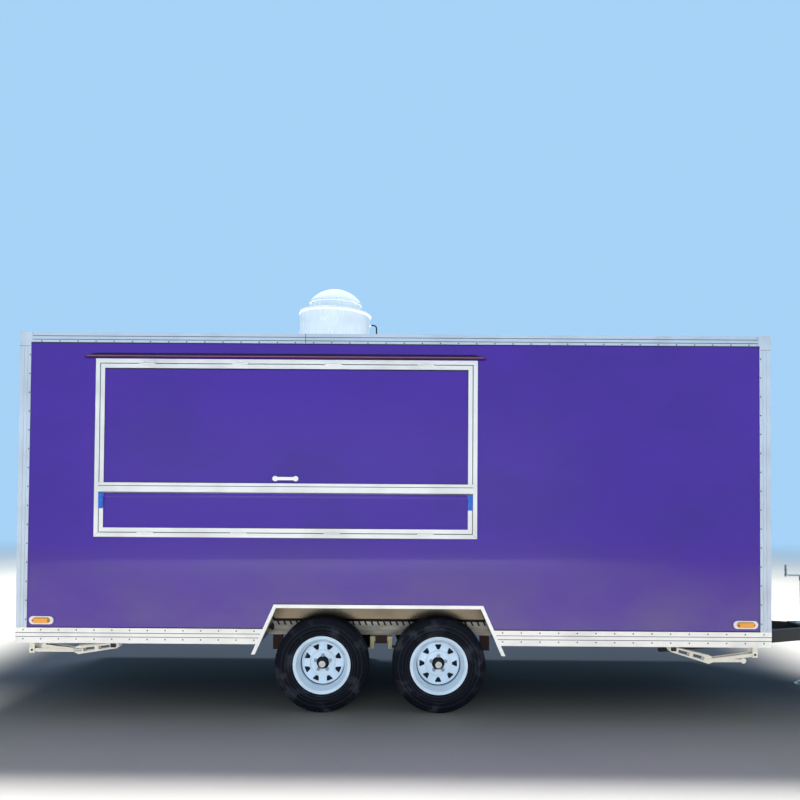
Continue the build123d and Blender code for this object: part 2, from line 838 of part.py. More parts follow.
with BuildPart() as door_panel:
    block(
        (door_x[0] + skin_inset, door_x[0] + skin_inset + panel_thickness),
        (door_y[0] + door_rail, door_y[1] - door_rail),
        (door_z[0] + door_rail, door_z[1] - door_rail),
    )
    plate_proud, plate_width, plate_height = lock_plate
    lock_y = door_y[0] + door_rail + lock_from_edge
    lock_z = door_bottom + lock_up
    lever_z = lock_z + lever_up
    lever_x = door_x[0] - lever_proud
    block(
        (door_x[0] - plate_proud, door_x[0] + skin_inset),
        (lock_y - plate_width / 2, lock_y + plate_width / 2),
        (lock_z - plate_height / 2, lock_z + plate_height / 2),
    )
    rod((lever_x, lock_y, lever_z), (door_x[0] - plate_proud, lock_y, lever_z), lever_r)
    block(
        (lever_x, lever_x + lever_thickness),
        (lock_y - lever_r, lock_y + lever_reach),
        (lever_z - lever_height / 2, lever_z + lever_height / 2),
    )
save(door_panel, "door_panel")

# Lamps: an oval base and a tapered oval lens, one pair on each long side and one pair on the rear wall
with BuildPart() as lamp_bases:
    for end in ends.values():
        lamp_x = (front if end > 0 else rear) - end * marker_from_end
        for sign in sides.values():
            with BuildSketch(side_plane(sign * side)) as oval:
                with Locations((lamp_x, marker_z)):
                    SlotOverall(marker_length, marker_height)
            extrude(oval.sketch, amount=-sign * marker_base)
    for sign in sides.values():
        with BuildSketch(across_plane(rear)) as oval:
            with Locations((sign * tail_lamp_y, tail_lamp_z)):
                SlotOverall(marker_length, marker_height)
        extrude(oval.sketch, amount=-marker_base)
save(lamp_bases, "lamp_bases")

with BuildPart() as marker_lenses:
    for end in ends.values():
        lamp_x = (front if end > 0 else rear) - end * marker_from_end
        for sign in sides.values():
            with BuildSketch(side_plane(sign * (side + marker_base))) as oval:
                with Locations((lamp_x, marker_z)):
                    SlotOverall(lens_length, lens_height)
            extrude(oval.sketch, amount=-sign * (handle_proud - marker_base), taper=lens_taper)
save(marker_lenses, "marker_lenses")

with BuildPart() as tail_lenses:
    for sign in sides.values():
        with BuildSketch(across_plane(rear - marker_base)) as oval:
            with Locations((sign * tail_lamp_y, tail_lamp_z)):
                SlotOverall(lens_length, lens_height)
        extrude(oval.sketch, amount=-(lamp_proud - marker_base), taper=lens_taper)
save(tail_lenses, "tail_lenses")

# Roof fan: a beaded drum under a cowl that leans a little to the tow end, and the lead down to the roof
fan_x = rear + fan_from_rear
lean = radians(fan_lean_deg)
fan_up = (sin(lean), 0, cos(lean))
fan_plane = Plane(origin=(fan_x, 0, roof_top), x_dir=(cos(lean), 0, -sin(lean)), z_dir=(0, -1, 0))
fan_axis = Axis((fan_x, 0, roof_top), fan_up)
fan_sunk = 2 * fan_drum_r * sin(lean)


def fan_place(radius, height):
    """Place in the side view, radius to the tow end of the fan's axis and height along it."""
    across = fan_x + radius * cos(lean) + height * sin(lean)
    return (across, 0, roof_top - radius * sin(lean) + height * cos(lean))


with BuildPart() as fan_housing:
    with BuildSketch(fan_plane):
        bead_bottom = fan_deck_z - fan_bead_height
        with BuildLine():
            Polyline((0, -fan_sunk), (fan_drum_r, -fan_sunk), (fan_drum_r, bead_bottom))
            ThreePointArc(
                (fan_drum_r, bead_bottom),
                (fan_bead_r, bead_bottom + fan_bead_height / 2),
                (fan_drum_r, fan_deck_z),
            )
            Polyline((fan_drum_r, fan_deck_z), (0, fan_deck_z), (0, -fan_sunk))
        make_face()
    revolve(axis=fan_axis)
    fan_base = (fan_x - fan_flange_r, fan_x + fan_flange_r)
    block(fan_base, (-fan_flange_r, fan_flange_r), (roof_top - 2 * fan_sunk, roof_top), Mode.SUBTRACT)
    rod((fan_x, 0, roof_top), (fan_x, 0, roof_top + fan_flange), fan_flange_r)
    rod(fan_place(fan_drum_r / 2, cable_exit_up), fan_place(fan_drum_r + gland_proud, cable_exit_up), gland_r)
save(fan_housing, "fan_housing")

crown_rise = cowl_top - cowl_brim - crown_step
crown_sphere = (crown_r**2 + crown_rise**2) / (2 * crown_rise)
crown_half = asin(crown_r / crown_sphere) / 2
crown_middle = (crown_sphere * sin(crown_half), cowl_top - crown_sphere * (1 - cos(crown_half)))
with BuildPart() as fan_cowl:
    with BuildSketch(fan_plane):
        with BuildLine():
            Polyline(
                (0, fan_deck_z),
                (cowl_neck_r, fan_deck_z),
                (cowl_neck_r, cowl_bottom),
                (cowl_r, cowl_bottom),
                (cowl_r, cowl_brim),
                (crown_r, cowl_brim + crown_step),
            )
            ThreePointArc((crown_r, cowl_brim + crown_step), crown_middle, (0, cowl_top))
            Line((0, cowl_top), (0, fan_deck_z))
        make_face()
    revolve(axis=fan_axis)
save(fan_cowl, "fan_cowl")

with BuildPart() as fan_cable:
    cable_start = fan_place(fan_drum_r + gland_proud + seat_gap, cable_exit_up)
    cable_turn = fan_place(fan_drum_r + cable_reach, cable_exit_up)
    cable_foot = (cable_turn[0] + cable_drift, 0, roof_top + cable_boot / 2)
    with BuildLine():
        FilletPolyline(cable_start, cable_turn, cable_foot, radius=0.45 * cable_reach)
    with BuildSketch(Plane(origin=cable_start, z_dir=Vector(*cable_turn) - Vector(*cable_start))):
        Circle(cable_r)
    sweep()
    rod((cable_foot[0], 0, roof_top), (cable_foot[0], 0, roof_top + cable_boot), gland_r)
save(fan_cable, "fan_cable")

# Chassis rails with the spring hangers welded below them
outer_eyes = [axle_places["rear"] - spring_eye_span / 2, axle_places["front"] + spring_eye_span / 2]
hanger_inner = spring_width / 2 + side_play
hanger_half = hanger_inner + hanger_sheet
# Hanger pairs along a rail: X, length, height of the bolt, plate below the bolt
hangers = [(x, hanger_length, spring_eye_z, hanger_below_eye) for x in outer_eyes]
hangers.append((axle_mid, pivot_hanger_length, equaliser_pivot_z, hanger_below_pivot))
with BuildPart() as main_rails:
    for sign in sides.values():
        middle = sign * spring_y
        rail_y = (sign * rail_outer, sign * (rail_outer - rail_width))
        block((rear + wall, front - wall), rail_y, (rail_bottom, floor_bottom))
        for x, length, bolt_z, below in hangers:
            span = (x - length / 2, x + length / 2)
            for shift in (-1, 1):
                cheek_y = (middle + shift * hanger_inner, middle + shift * hanger_half)
                block(span, cheek_y, (bolt_z - below, rail_bottom))
            plate_y = (middle - hanger_half, middle + hanger_half)
            block(span, plate_y, (rail_bottom - hanger_sheet, rail_bottom))
            rod((x, middle - hanger_bolt_half, bolt_z), (x, middle + hanger_bolt_half, bolt_z), spring_bolt_r)
save(main_rails, "main_rails")

with BuildPart() as cross_members:
    inner_rail = rail_outer - rail_width
    member_z = (floor_bottom - member_height, floor_bottom)
    for station in member_stations:
        x_span = (rear + station - member_width / 2, rear + station + member_width / 2)
        block(x_span, (-inner_rail, inner_rail), member_z)
        if abs(station - arch_from_rear) > arch_half_foot + member_width:
            for sign in sides.values():
                block(x_span, (sign * rail_outer, sign * inner_side), member_z)
save(cross_members, "cross_members")

# Leaf springs: a stack of leaves bent to one centre, with eyes at the ends of the top leaf
leaf_top_z = spring_seat_z + len(leaf_half_lengths) * leaf_sheet
camber_r = (spring_eye_span / 2) ** 2 / (2 * leaf_camber)


def leaf_outline(centre_x, half, top_z):
    """Closed outline of one bent leaf, given by the radius of its hollow upper face."""
    centre_z = leaf_top_z + camber_r
    radii = (centre_z - top_z, centre_z - top_z + leaf_sheet)
    tilt = asin(half / camber_r)
    places = []
    for radius, angles in ((radii[0], (-tilt, 0, tilt)), (radii[1], (tilt, 0, -tilt))):
        places.append([(centre_x + radius * sin(angle), centre_z - radius * cos(angle)) for angle in angles])
    return places


with BuildPart() as leaf_springs:
    for sign in sides.values():
        for centre_x in axle_places.values():
            start_y = sign * spring_y + spring_width / 2
            for index, half in enumerate(leaf_half_lengths):
                upper, lower = leaf_outline(centre_x, half, leaf_top_z - index * leaf_sheet)
                with BuildSketch(side_plane(start_y)):
                    with BuildLine():
                        ThreePointArc(*upper)
                        Line(upper[-1], lower[0])
                        ThreePointArc(*lower)
                        Line(lower[-1], upper[0])
                    make_face()
                extrude(amount=spring_width)
            for shift in (-1, 1):
                eye_x = centre_x + shift * spring_eye_span / 2
                eye = [(eye_x, y, spring_eye_z) for y in (start_y, start_y - spring_width)]
                rod(*eye, spring_eye_r)
                rod(*eye, spring_bolt_r + bolt_fit, Mode.SUBTRACT)
save(leaf_springs, "leaf_springs")

# Equalisers and the shackle links down to the inner spring eyes
inner_eyes = [axle_places["rear"] + spring_eye_span / 2, axle_places["front"] - spring_eye_span / 2]
with BuildPart() as equalisers:
    for sign in sides.values():
        start_y = sign * spring_y + spring_width / 2 - link_sheet
        rocker_half = equaliser_half + rocker_end
        rocker = [
            (axle_mid - rocker_half, equaliser_end_z + rocker_end),
            (axle_mid - rocker_half, equaliser_end_z - rocker_end),
            (axle_mid - rocker_waist, equaliser_pivot_z - rocker_waist),
            (axle_mid + rocker_waist, equaliser_pivot_z - rocker_waist),
            (axle_mid + rocker_half, equaliser_end_z - rocker_end),
            (axle_mid + rocker_half, equaliser_end_z + rocker_end),
            (axle_mid, equaliser_pivot_z + rocker_crown),
        ]
        prism(rocker, side_plane(start_y), spring_width - 2 * link_sheet)
        rod(
            (axle_mid, start_y, equaliser_pivot_z),
            (axle_mid, start_y - spring_width, equaliser_pivot_z),
            spring_bolt_r + bolt_fit,
            Mode.SUBTRACT,
        )
        for shift, eye_x in ((-1, inner_eyes[0]), (1, inner_eyes[1])):
            top = (axle_mid + shift * equaliser_half, equaliser_end_z)
            low = (eye_x, spring_eye_z)
            outline = [
                (low[0] - link_half, low[1] - link_half),
                (low[0] + link_half, low[1] - link_half),
                (top[0] + link_half, top[1] + link_half),
                (top[0] - link_half, top[1] + link_half),
            ]
            for face in (-1, 1):
                near = sign * spring_y + face * (spring_width / 2 + side_play)
                prism(outline, side_plane(near), -face * link_sheet)
            bolt_half = spring_width / 2 + bolt_head
            for x, z in (top, low):
                rod((x, sign * spring_y - bolt_half, z), (x, sign * spring_y + bolt_half, z), spring_bolt_r)
save(equalisers, "equalisers")

# Axles: square beam, spindles, backing plates and the clamps round the springs
wheel_outer = side - tyre_outer_inset
wheel_mid = wheel_outer - tyre_width / 2
rim_outer = wheel_mid + rim_width / 2
disc_face = rim_outer - disc_set_in
mount_face = disc_face - disc_sheet
drum_inner = mount_face - drum_depth
backing_inner = drum_inner - drum_gap - backing_sheet
with BuildPart() as axles:
    for axle_x in axle_places.values():
        block(
            (axle_x - axle_beam / 2, axle_x + axle_beam / 2),
            (-backing_inner, backing_inner),
            (tyre_r - axle_beam / 2, tyre_r + axle_beam / 2),
        )
        for sign in sides.values():
            rod((axle_x, sign * backing_inner, tyre_r), (axle_x, sign * mount_face, tyre_r), spindle_r)
            rod(
                (axle_x, sign * backing_inner, tyre_r),
                (axle_x, sign * (backing_inner + backing_sheet), tyre_r),
                backing_r,
            )
            seat_top = spring_seat_z - seat_gap
            beam_z = (tyre_r - axle_beam / 2, tyre_r + axle_beam / 2)
            y_span = (sign * spring_y - spring_width / 2, sign * spring_y + spring_width / 2)
            bolt_out = clamp_rod_r + side_play
            wide_y = (y_span[0] - 2 * bolt_out, y_span[1] + 2 * bolt_out)
            x_span = (axle_x - clamp_length / 2, axle_x + clamp_length / 2)
            block(x_span, y_span, (beam_z[1], seat_top))
            clamp_top = leaf_top_z + clamp_rise + clamp_plate
            block(x_span, wide_y, (clamp_top - clamp_plate, clamp_top))
            block(x_span, wide_y, (beam_z[0] - clamp_plate, beam_z[0]))
            for x in (axle_x - axle_beam / 2 - bolt_out, axle_x + axle_beam / 2 + bolt_out):
                for y in (y_span[0] - bolt_out, y_span[1] + bolt_out):
                    foot_z = beam_z[0] - clamp_plate - clamp_tail
                    rod((x, y, foot_z), (x, y, clamp_top + clamp_tail), clamp_rod_r)
save(axles, "axles")

# Wheels: tyre, pressed rim with windows, and hub with drum, studs and grease cap
# Half section of the tyre: radius, half width
tyre_half = [
    (rim_bead_r + seat_gap, rim_width / 2 - 12.5),
    (rim_flange_r + seat_gap, rim_width / 2 - 6.5),
    (rim_flange_r + 2.0, rim_width / 2 + 1.0),
    (tyre_r - 80, tyre_width / 2),
    (tyre_r - 20, tyre_width / 2 - 13),
    (tyre_r, tyre_width / 2 - 36),
]
# Section of the rim: radius, place outboard of the wheel's middle
half = rim_width / 2
disc_out = half - disc_set_in
well_r = rim_bead_r - rim_well_depth
well_in = well_r - rim_sheet
rim_section = [
    (rim_flange_r, half),
    (rim_flange_r, half - rim_lip),
    (rim_bead_r, half - 11),
    (well_r, half - 52),
    (well_r, disc_out - 26),
    (rim_bead_r, -half + 11),
    (rim_flange_r, -half + rim_lip),
    (rim_flange_r, -half),
    (rim_bead_r - rim_sheet, -half + 6),
    (well_in, disc_out - 30),
    (well_in, disc_out - 14),
    (150, disc_out - 9),
    (96, disc_out - 2),
    (84, disc_out - disc_sheet),
    (46, disc_out - disc_sheet),
    (46, disc_out),
    (88, disc_out),
    (98, disc_out + 7),
    (148, disc_out),
    (well_in, disc_out - 4),
    (well_in, half - 52),
    (rim_bead_r - rim_sheet, half - 6),
]
# Section of the hub: radius, place outboard of the wheel's middle
face_out = disc_face - wheel_mid
mount_out = mount_face - wheel_mid
drum_in = drum_inner - wheel_mid
hub_section = [
    (0, face_out + cap_out),
    (cap_r - 6, face_out + cap_out),
    (cap_r, face_out + cap_out - 8),
    (cap_r, face_out + 12),
    (hub_boss_r, face_out + 8),
    (hub_boss_r, mount_out),
    (drum_r, mount_out),
    (drum_r, drum_in),
    (drum_r - drum_sheet, drum_in),
    (drum_r - drum_sheet, mount_out - drum_sheet),
    (hub_boss_r, mount_out - drum_sheet),
    (hub_boss_r, drum_in),
    (spindle_r + running_fit, drum_in),
    (spindle_r + running_fit, mount_out + running_fit),
    (0, mount_out + running_fit),
]
window_corners = [
    (window_outer_r, window_outer_half),
    (window_outer_r, -window_outer_half),
    (window_inner_r, -window_inner_half),
    (window_inner_r, window_inner_half),
]
window_turn = {"rear": 0.5, "front": 0.0}


def wheel_plane(axle_x, sign):
    """Section plane of a wheel: x is the radius, upwards, and y runs outboard from the wheel's middle."""
    return Plane(origin=(axle_x, sign * wheel_mid, tyre_r), x_dir=(0, 0, 1), z_dir=(-sign, 0, 0))


def spin(points, plane, axis):
    """Revolve a closed outline about a wheel's axis."""
    with BuildSketch(plane) as outline:
        with BuildLine():
            Polyline(*points, close=True)
        make_face()
    revolve(outline.sketch, axis=axis)


for end_name, axle_x in axle_places.items():
    for side_name, sign in sides.items():
        where = f"{end_name}_{side_name}"
        plane = wheel_plane(axle_x, sign)
        axis = Axis((axle_x, 0, tyre_r), (0, 1, 0))

        with BuildPart() as tyre:
            spin(tyre_half + [(r, -out) for r, out in reversed(tyre_half)], plane, axis)
        save(tyre, f"tyre_{where}")

        with BuildPart() as rim:
            spin(rim_section, plane, axis)
            hole_plane = Plane(origin=(axle_x, sign * wheel_mid, tyre_r), x_dir=(1, 0, 0), z_dir=(0, -1, 0))
            with BuildSketch(hole_plane) as windows:
                for index in range(window_count):
                    angle = radians(90 + (window_turn[end_name] + index) * 360 / window_count)
                    along, over = (cos(angle), sin(angle)), (-sin(angle), cos(angle))
                    corners = []
                    for r, t in window_corners:
                        corners.append((r * along[0] + t * over[0], r * along[1] + t * over[1]))
                    with BuildLine():
                        Polyline(*corners, close=True)
                    make_face()
                fillet(windows.vertices(), window_corner_r)
            extrude(windows.sketch, amount=rim_width / 2, both=True, mode=Mode.SUBTRACT)
        save(rim, f"rim_{where}")

        with BuildPart() as hub:
            spin(hub_section, plane, axis)
            for index in range(stud_count):
                angle = radians(90 + index * 360 / stud_count)
                x, z = axle_x + stud_circle_r * cos(angle), tyre_r + stud_circle_r * sin(angle)
                rod((x, sign * disc_face, z), (x, sign * (disc_face + nut_height), z), nut_r)
        save(hub, f"hub_{where}")

# Drawbar: two converging beams, a tie below the body's front, packers up to the chassis,
# and plates for the jack, the coupler and the chains, each a solid of its own
def beam_y(reach):
    """Half distance between the beams' middles, reach forwards of the body."""
    return beam_tip_y + (beam_tip - reach) * beam_slope


with BuildPart() as drawbar:
    half_across = beam_width / 2 * hypot(1, beam_slope)
    for sign in sides.values():
        beam = [
            (front + reach, sign * (beam_y(reach) + shift * half_across))
            for reach, shift in ((beam_rear, -1), (beam_tip, -1), (beam_tip, 1), (beam_rear, 1))
        ]
        prism(beam, Plane.XY.offset(beam_bottom), beam_height)
        rail_y = (sign * (rail_outer - rail_width), sign * rail_outer)
        packer_x = (front + beam_rear + packer_at, front + beam_rear + packer_at + packer_length)
        block(packer_x, rail_y, (beam_top + seat_gap, rail_bottom))
        member_x = rear + member_stations[-1]
        member_y = sign * beam_y(member_x - front)
        block(
            (member_x - member_width / 2, member_x + member_width / 2),
            (member_y - beam_width / 2, member_y + beam_width / 2),
            (beam_top + seat_gap, floor_bottom - member_height),
        )
    tie = []
    for reach, way in ((tie_at, 1), (tie_at + tie_width, 1), (tie_at + tie_width, -1), (tie_at, -1)):
        tie.append((front + reach, way * (beam_y(reach) - half_across - seat_gap)))
    prism(tie, Plane.XY.offset(beam_bottom + tie_drop), beam_height - tie_drop)
    plate_z = (beam_top + seat_gap, coupler_base)
    jack_plate_y = beam_y(jack_at) + beam_width / 2
    block((jack_x - jack_plate_half, jack_x + jack_plate_half), (-jack_plate_y, jack_plate_y), plate_z)
    rod((jack_x, 0, beam_top), (jack_x, 0, coupler_base), jack_tube_r + seat_gap, Mode.SUBTRACT)
    coupler_plate_y = beam_tip_y + beam_width / 2
    block((front + coupler_rear, front + beam_tip), (-coupler_plate_y, coupler_plate_y), plate_z)
    plate_x = front + chain_plate_at
    chain_plate_y = chain_hole_y + chain_plate_edge
    block(
        (plate_x - chain_plate_edge, plate_x + chain_plate_edge),
        (-chain_plate_y, chain_plate_y),
        (beam_bottom - deck_sheet, beam_bottom - seat_gap),
    )
    for sign in sides.values():
        hole = [(plate_x, sign * chain_hole_y, z) for z in (beam_bottom - 2 * deck_sheet, beam_bottom)]
        rod(*hole, chain_hole_r, Mode.SUBTRACT)
save(drawbar, "drawbar")

with BuildPart() as coupler:
    profile = [
        (front + coupler_rear, coupler_base),
        (front + coupler_rear, coupler_base + coupler_rear_height),
        (front + coupler_rear + coupler_ramp, coupler_base + coupler_shoulder),
        (ball_x, coupler_top - rim_lip),
        (ball_x, coupler_base),
    ]
    prism(profile, side_plane(coupler_width / 2), coupler_width)
    socket_r = ball_r + ball_fit
    socket_z = (coupler_base - socket_skirt, coupler_top - socket_wall)
    rod((ball_x, 0, socket_z[0]), (ball_x, 0, socket_z[1]), socket_r + socket_wall)
    with Locations((ball_x, 0, coupler_top - socket_r + 4)):
        Sphere(socket_r + 6)
    with Locations((ball_x, 0, ball_z)):
        Sphere(socket_r, mode=Mode.SUBTRACT)
    rod((ball_x, 0, coupler_base - 2 * socket_skirt), (ball_x, 0, ball_z), socket_r, Mode.SUBTRACT)
    latch_front = ball_x - latch_back + latch_length / 2
    block(
        (latch_front - latch_length, latch_front),
        (-latch_thickness / 2, latch_thickness / 2),
        (coupler_top - latch_depth / 2, coupler_top + latch_depth / 2),
    )
save(coupler, "coupler")

with BuildPart() as tongue_jack:
    rod((jack_x, 0, jack_tube_bottom), (jack_x, 0, jack_tube_top), jack_tube_r)
    rod((jack_x, 0, coupler_base), (jack_x, 0, coupler_base + deck_sheet), 2 * jack_tube_r)
    rod((jack_x, 0, jack_tube_bottom), (jack_x, 0, jack_tube_top - deck_sheet), jack_bore_r, Mode.SUBTRACT)
    crank_z = jack_tube_top + gearbox_height
    arm_z = crank_z + crank_boss / 2
    rod((jack_x, 0, jack_tube_top), (jack_x, 0, crank_z), gearbox_r)
    rod((jack_x, 0, crank_z), (jack_x, 0, crank_z + crank_boss), 1.5 * crank_r)
    rod((jack_x, 0, arm_z), (jack_x - crank_reach, 0, arm_z), crank_r)
    rod((jack_x - crank_reach, 0, crank_z), (jack_x - crank_reach, 0, crank_z + crank_grip), 1.5 * crank_r)
save(tongue_jack, "tongue_jack")

with BuildPart() as jack_leg:
    rod((jack_x, 0, 0), (jack_x, 0, jack_leg_top), jack_leg_r)
    rod((jack_x, 0, 0), (jack_x, 0, jack_foot_sheet), jack_foot_r)
    rod((jack_x, 0, jack_foot_sheet), (jack_x, 0, 4 * jack_foot_sheet), (jack_leg_r + jack_foot_r) / 2)
save(jack_leg, "jack_leg")


# Stabilisers: end of the body and how far the folded leg droops, in degrees
stab_droop = {"rear": 7.0, "front": 15.0}
stab_member = {"rear": member_stations[1], "front": member_stations[-2]}


def stab_points(end_name):
    """Places in the side view at rest: outboard pin, trunnion, inner end and foot of the leg."""
    end = ends[end_name]
    droop = radians(stab_droop[end_name])
    outboard_x = (front if end > 0 else rear) - end * stab_outboard_in
    fall = stab_inner_z - stab_lever * sin(droop) - stab_outboard_z
    reach = sqrt(stab_strut**2 - fall**2)
    trunnion = (outboard_x - end * reach, stab_outboard_z + fall)
    inner = (trunnion[0] - end * stab_lever * cos(droop), stab_inner_z)
    toe_droop = droop - radians(stab_toe_lift_deg)
    foot = (trunnion[0] + end * stab_toe * cos(toe_droop), trunnion[1] - stab_toe * sin(toe_droop))
    return (outboard_x, stab_outboard_z), trunnion, inner, foot


def bar_between(start, end, half_start, half_end, y, thickness, mode=Mode.ADD):
    """Tapered flat bar in the side view between two points, from y towards the serving side."""
    along = (Vector(*end) - Vector(*start)).normalized()
    over = Vector(-along.Y, along.X)
    a, b = Vector(*start), Vector(*end)
    corners = [a + over * half_start, b + over * half_end, b - over * half_end, a - over * half_start]
    prism([(corner.X, corner.Y) for corner in corners], side_plane(y), thickness, mode=mode)


with BuildPart() as stabiliser_mounts:
    outboard_foot_z = stab_outboard_z - stab_below_pin
    inner_foot_z = stab_inner_z - stab_below_inner
    for end_name, end in ends.items():
        outboard, trunnion, inner, foot = stab_points(end_name)
        member_x = rear + stab_member[end_name]
        for sign in sides.values():
            middle = sign * stab_y
            strap_top = floor_bottom - member_height
            strap_x = (outboard[0] + end * stab_bracket_half, member_x - end * member_width / 2)
            block(
                strap_x,
                (middle - stab_bracket_y, middle + stab_bracket_y),
                (strap_top - strap_thickness, strap_top),
            )
            for shift in (-1, 1):
                near = middle + shift * (stab_bracket_y - stab_bracket)
                far = middle + shift * stab_bracket_y
                feet = [(outboard[0], outboard_foot_z), (member_x, inner_foot_z)]
                for x, low_z in feet:
                    block((x - stab_bracket_half, x + stab_bracket_half), (near, far), (low_z, strap_top))
            pin_half = stab_bracket_y + stab_pin_head
            pin = [(outboard[0], middle + way * pin_half, outboard[1]) for way in (-1, 1)]
            rod(*pin, stab_pin_r)
            block_z = (stab_screw_z - stab_screw_block_height / 2, stab_screw_z + stab_screw_block_height / 2)
            for x in (outboard[0], member_x):
                block_x = (x - stab_screw_block / 2, x + stab_screw_block / 2)
                block(block_x, (middle - stab_bracket_y, middle + stab_bracket_y), block_z)
            screw = [(x, middle, stab_screw_z) for x in (outboard[0] + end * stab_bracket_half, member_x)]
            rod(*screw, stab_screw_r)
save(stabiliser_mounts, "stabiliser_mounts")

for end_name, end in ends.items():
    outboard, trunnion, inner, foot = stab_points(end_name)
    lean = (Vector(*trunnion) - Vector(*inner)).normalized()
    raised = Vector(-lean.Y, lean.X) * end
    toe = (Vector(*foot) - Vector(*trunnion)).normalized()
    ladder_lift = raised * ladder_web_lift
    toe_lift = Vector(-toe.Y, toe.X) * end * stab_foot_height / 3
    for side_name, sign in sides.items():
        middle = sign * stab_y
        where = f"{end_name}_{side_name}"

        with BuildPart() as strut:
            for shift in (-1, 1):
                y = middle + (stab_bar_y if shift > 0 else -stab_bar_y + stab_bar)
                bar_between(outboard, trunnion, 0.8 * stab_eye_r, 0.8 * stab_eye_r, y, stab_bar)
                for place in (outboard, trunnion):
                    rod((place[0], y, place[1]), (place[0], y - stab_bar, place[1]), stab_eye_r)
            rod(
                (trunnion[0], middle - stab_bar_y, trunnion[1]),
                (trunnion[0], middle + stab_bar_y, trunnion[1]),
                stab_pin_r,
            )
            rod(
                (outboard[0], middle - stab_bar_y, outboard[1]),
                (outboard[0], middle + stab_bar_y, outboard[1]),
                stab_pin_r + stab_pin_head,
            )
            rod(
                (outboard[0], middle - 2 * stab_bar_y, outboard[1]),
                (outboard[0], middle + 2 * stab_bar_y, outboard[1]),
                stab_pin_r + running_fit,
                Mode.SUBTRACT,
            )
        save(strut, f"stabiliser_strut_{where}")

        with BuildPart() as leg:
            for shift in (-1, 1):
                y = middle + (stab_cheek_y if shift > 0 else -stab_cheek_y + stab_cheek)
                ladder_half = (0.35 * stab_ladder_height, 0.55 * stab_ladder_height)
                bar_between(inner, trunnion, *ladder_half, y, stab_cheek)
                bar_between(trunnion, foot, 0.65 * stab_foot_height, 0.4 * stab_foot_height, y, stab_cheek)
                eyes = ((inner, stab_inner_r), (trunnion, 1.4 * stab_eye_r), (foot, stab_foot_r))
                for (x, z), radius in eyes:
                    rod((x, y, z), (x, y - stab_cheek, z), radius)
            inner_at, trunnion_at, foot_at = Vector(*inner), Vector(*trunnion), Vector(*foot)
            # Webs between the cheeks: start, end, lift above the middle line
            webs = [
                (inner_at + lean * ladder_start_in, trunnion_at - lean * ladder_end_in, ladder_lift),
                (trunnion_at + toe * ladder_end_in, foot_at - toe * ladder_end_in, toe_lift),
            ]
            web_y = middle + stab_cheek_y
            for start, stop, lift in webs:
                a, b = start + lift, stop + lift
                bar_between((a.X, a.Y), (b.X, b.Y), stab_web / 2, stab_web / 2, web_y, 2 * stab_cheek_y)
            first_window = ladder_start_in + side_play
            step = (stab_lever - first_window - ladder_end_in) / ladder_windows
            for index in range(ladder_windows):
                centre = inner_at + lean * (first_window + step * (index + 0.5)) - raised * side_play
                a, b = centre - lean * (ladder_window / 2), centre + lean * (ladder_window / 2)
                halves = (ladder_window_half, ladder_window_half)
                bar_between((a.X, a.Y), (b.X, b.Y), *halves, web_y, 2 * stab_cheek_y, Mode.SUBTRACT)
            rod(
                (foot[0], middle - stab_cheek_y, foot[1]),
                (foot[0], middle + stab_cheek_y, foot[1]),
                stab_pin_r + side_play,
            )
            rod(
                (trunnion[0], middle - 2 * stab_cheek_y, trunnion[1]),
                (trunnion[0], middle + 2 * stab_cheek_y, trunnion[1]),
                stab_pin_r + running_fit,
                Mode.SUBTRACT,
            )
        save(leg, f"stabiliser_leg_{where}")

print("Hatch struts, millimetres: closed", round(strut_closed, 1), "open", round(strut_open, 1))
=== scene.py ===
"""Dress a tandem-axle food trailer with paint, trim, fasteners, seals, wheels, fan details, light and camera.

Every length is in metres. +X points to the tow end, -Y to the serving side and +Z up; the ground is z = 0.
"""

from __future__ import annotations

import logging
import math
from collections.abc import Callable, Iterator
from contextlib import contextmanager
from dataclasses import dataclass, field
from enum import Enum

import bmesh
import bpy
from mathutils import Matrix, Vector

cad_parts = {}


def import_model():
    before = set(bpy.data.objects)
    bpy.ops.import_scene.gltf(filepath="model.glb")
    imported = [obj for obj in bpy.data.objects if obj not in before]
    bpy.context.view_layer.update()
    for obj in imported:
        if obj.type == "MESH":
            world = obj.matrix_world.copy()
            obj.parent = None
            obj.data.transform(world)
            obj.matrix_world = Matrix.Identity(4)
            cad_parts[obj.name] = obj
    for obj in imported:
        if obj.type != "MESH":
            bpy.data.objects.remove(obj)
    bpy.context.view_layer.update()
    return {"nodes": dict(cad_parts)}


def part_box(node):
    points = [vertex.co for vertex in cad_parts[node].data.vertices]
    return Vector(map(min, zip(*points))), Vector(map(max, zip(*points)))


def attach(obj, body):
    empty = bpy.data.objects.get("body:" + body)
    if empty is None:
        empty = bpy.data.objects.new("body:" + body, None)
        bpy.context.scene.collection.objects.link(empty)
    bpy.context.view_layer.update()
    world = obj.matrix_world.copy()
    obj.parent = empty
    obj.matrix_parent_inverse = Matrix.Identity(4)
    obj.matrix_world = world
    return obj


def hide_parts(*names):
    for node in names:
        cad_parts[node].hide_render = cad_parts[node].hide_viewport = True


LOG = logging.getLogger("food_trailer")
Colour = tuple[float, float, float]
Point = tuple[float, float, float]
Span = tuple[float, float]

# X and height of the axles.
AXLES: Span = (-1.112, -0.248)
AXLE_HEIGHT = 0.346

# How far the aluminium strips stand off the walls.
TRIM = 0.006

WHEELS = [f"{end}_{side}" for end in ("rear", "front") for side in ("serving", "far")]


class Side(Enum):
    """The trailer's long sides, with the sign of their Y."""

    SERVING = -1
    FAR = 1


class End(Enum):
    """The trailer's ends, with the sign of their X."""

    REAR = -1
    TOW = 1


class Axis(Enum):
    """Index of a coordinate."""

    X = 0
    Y = 1
    Z = 2


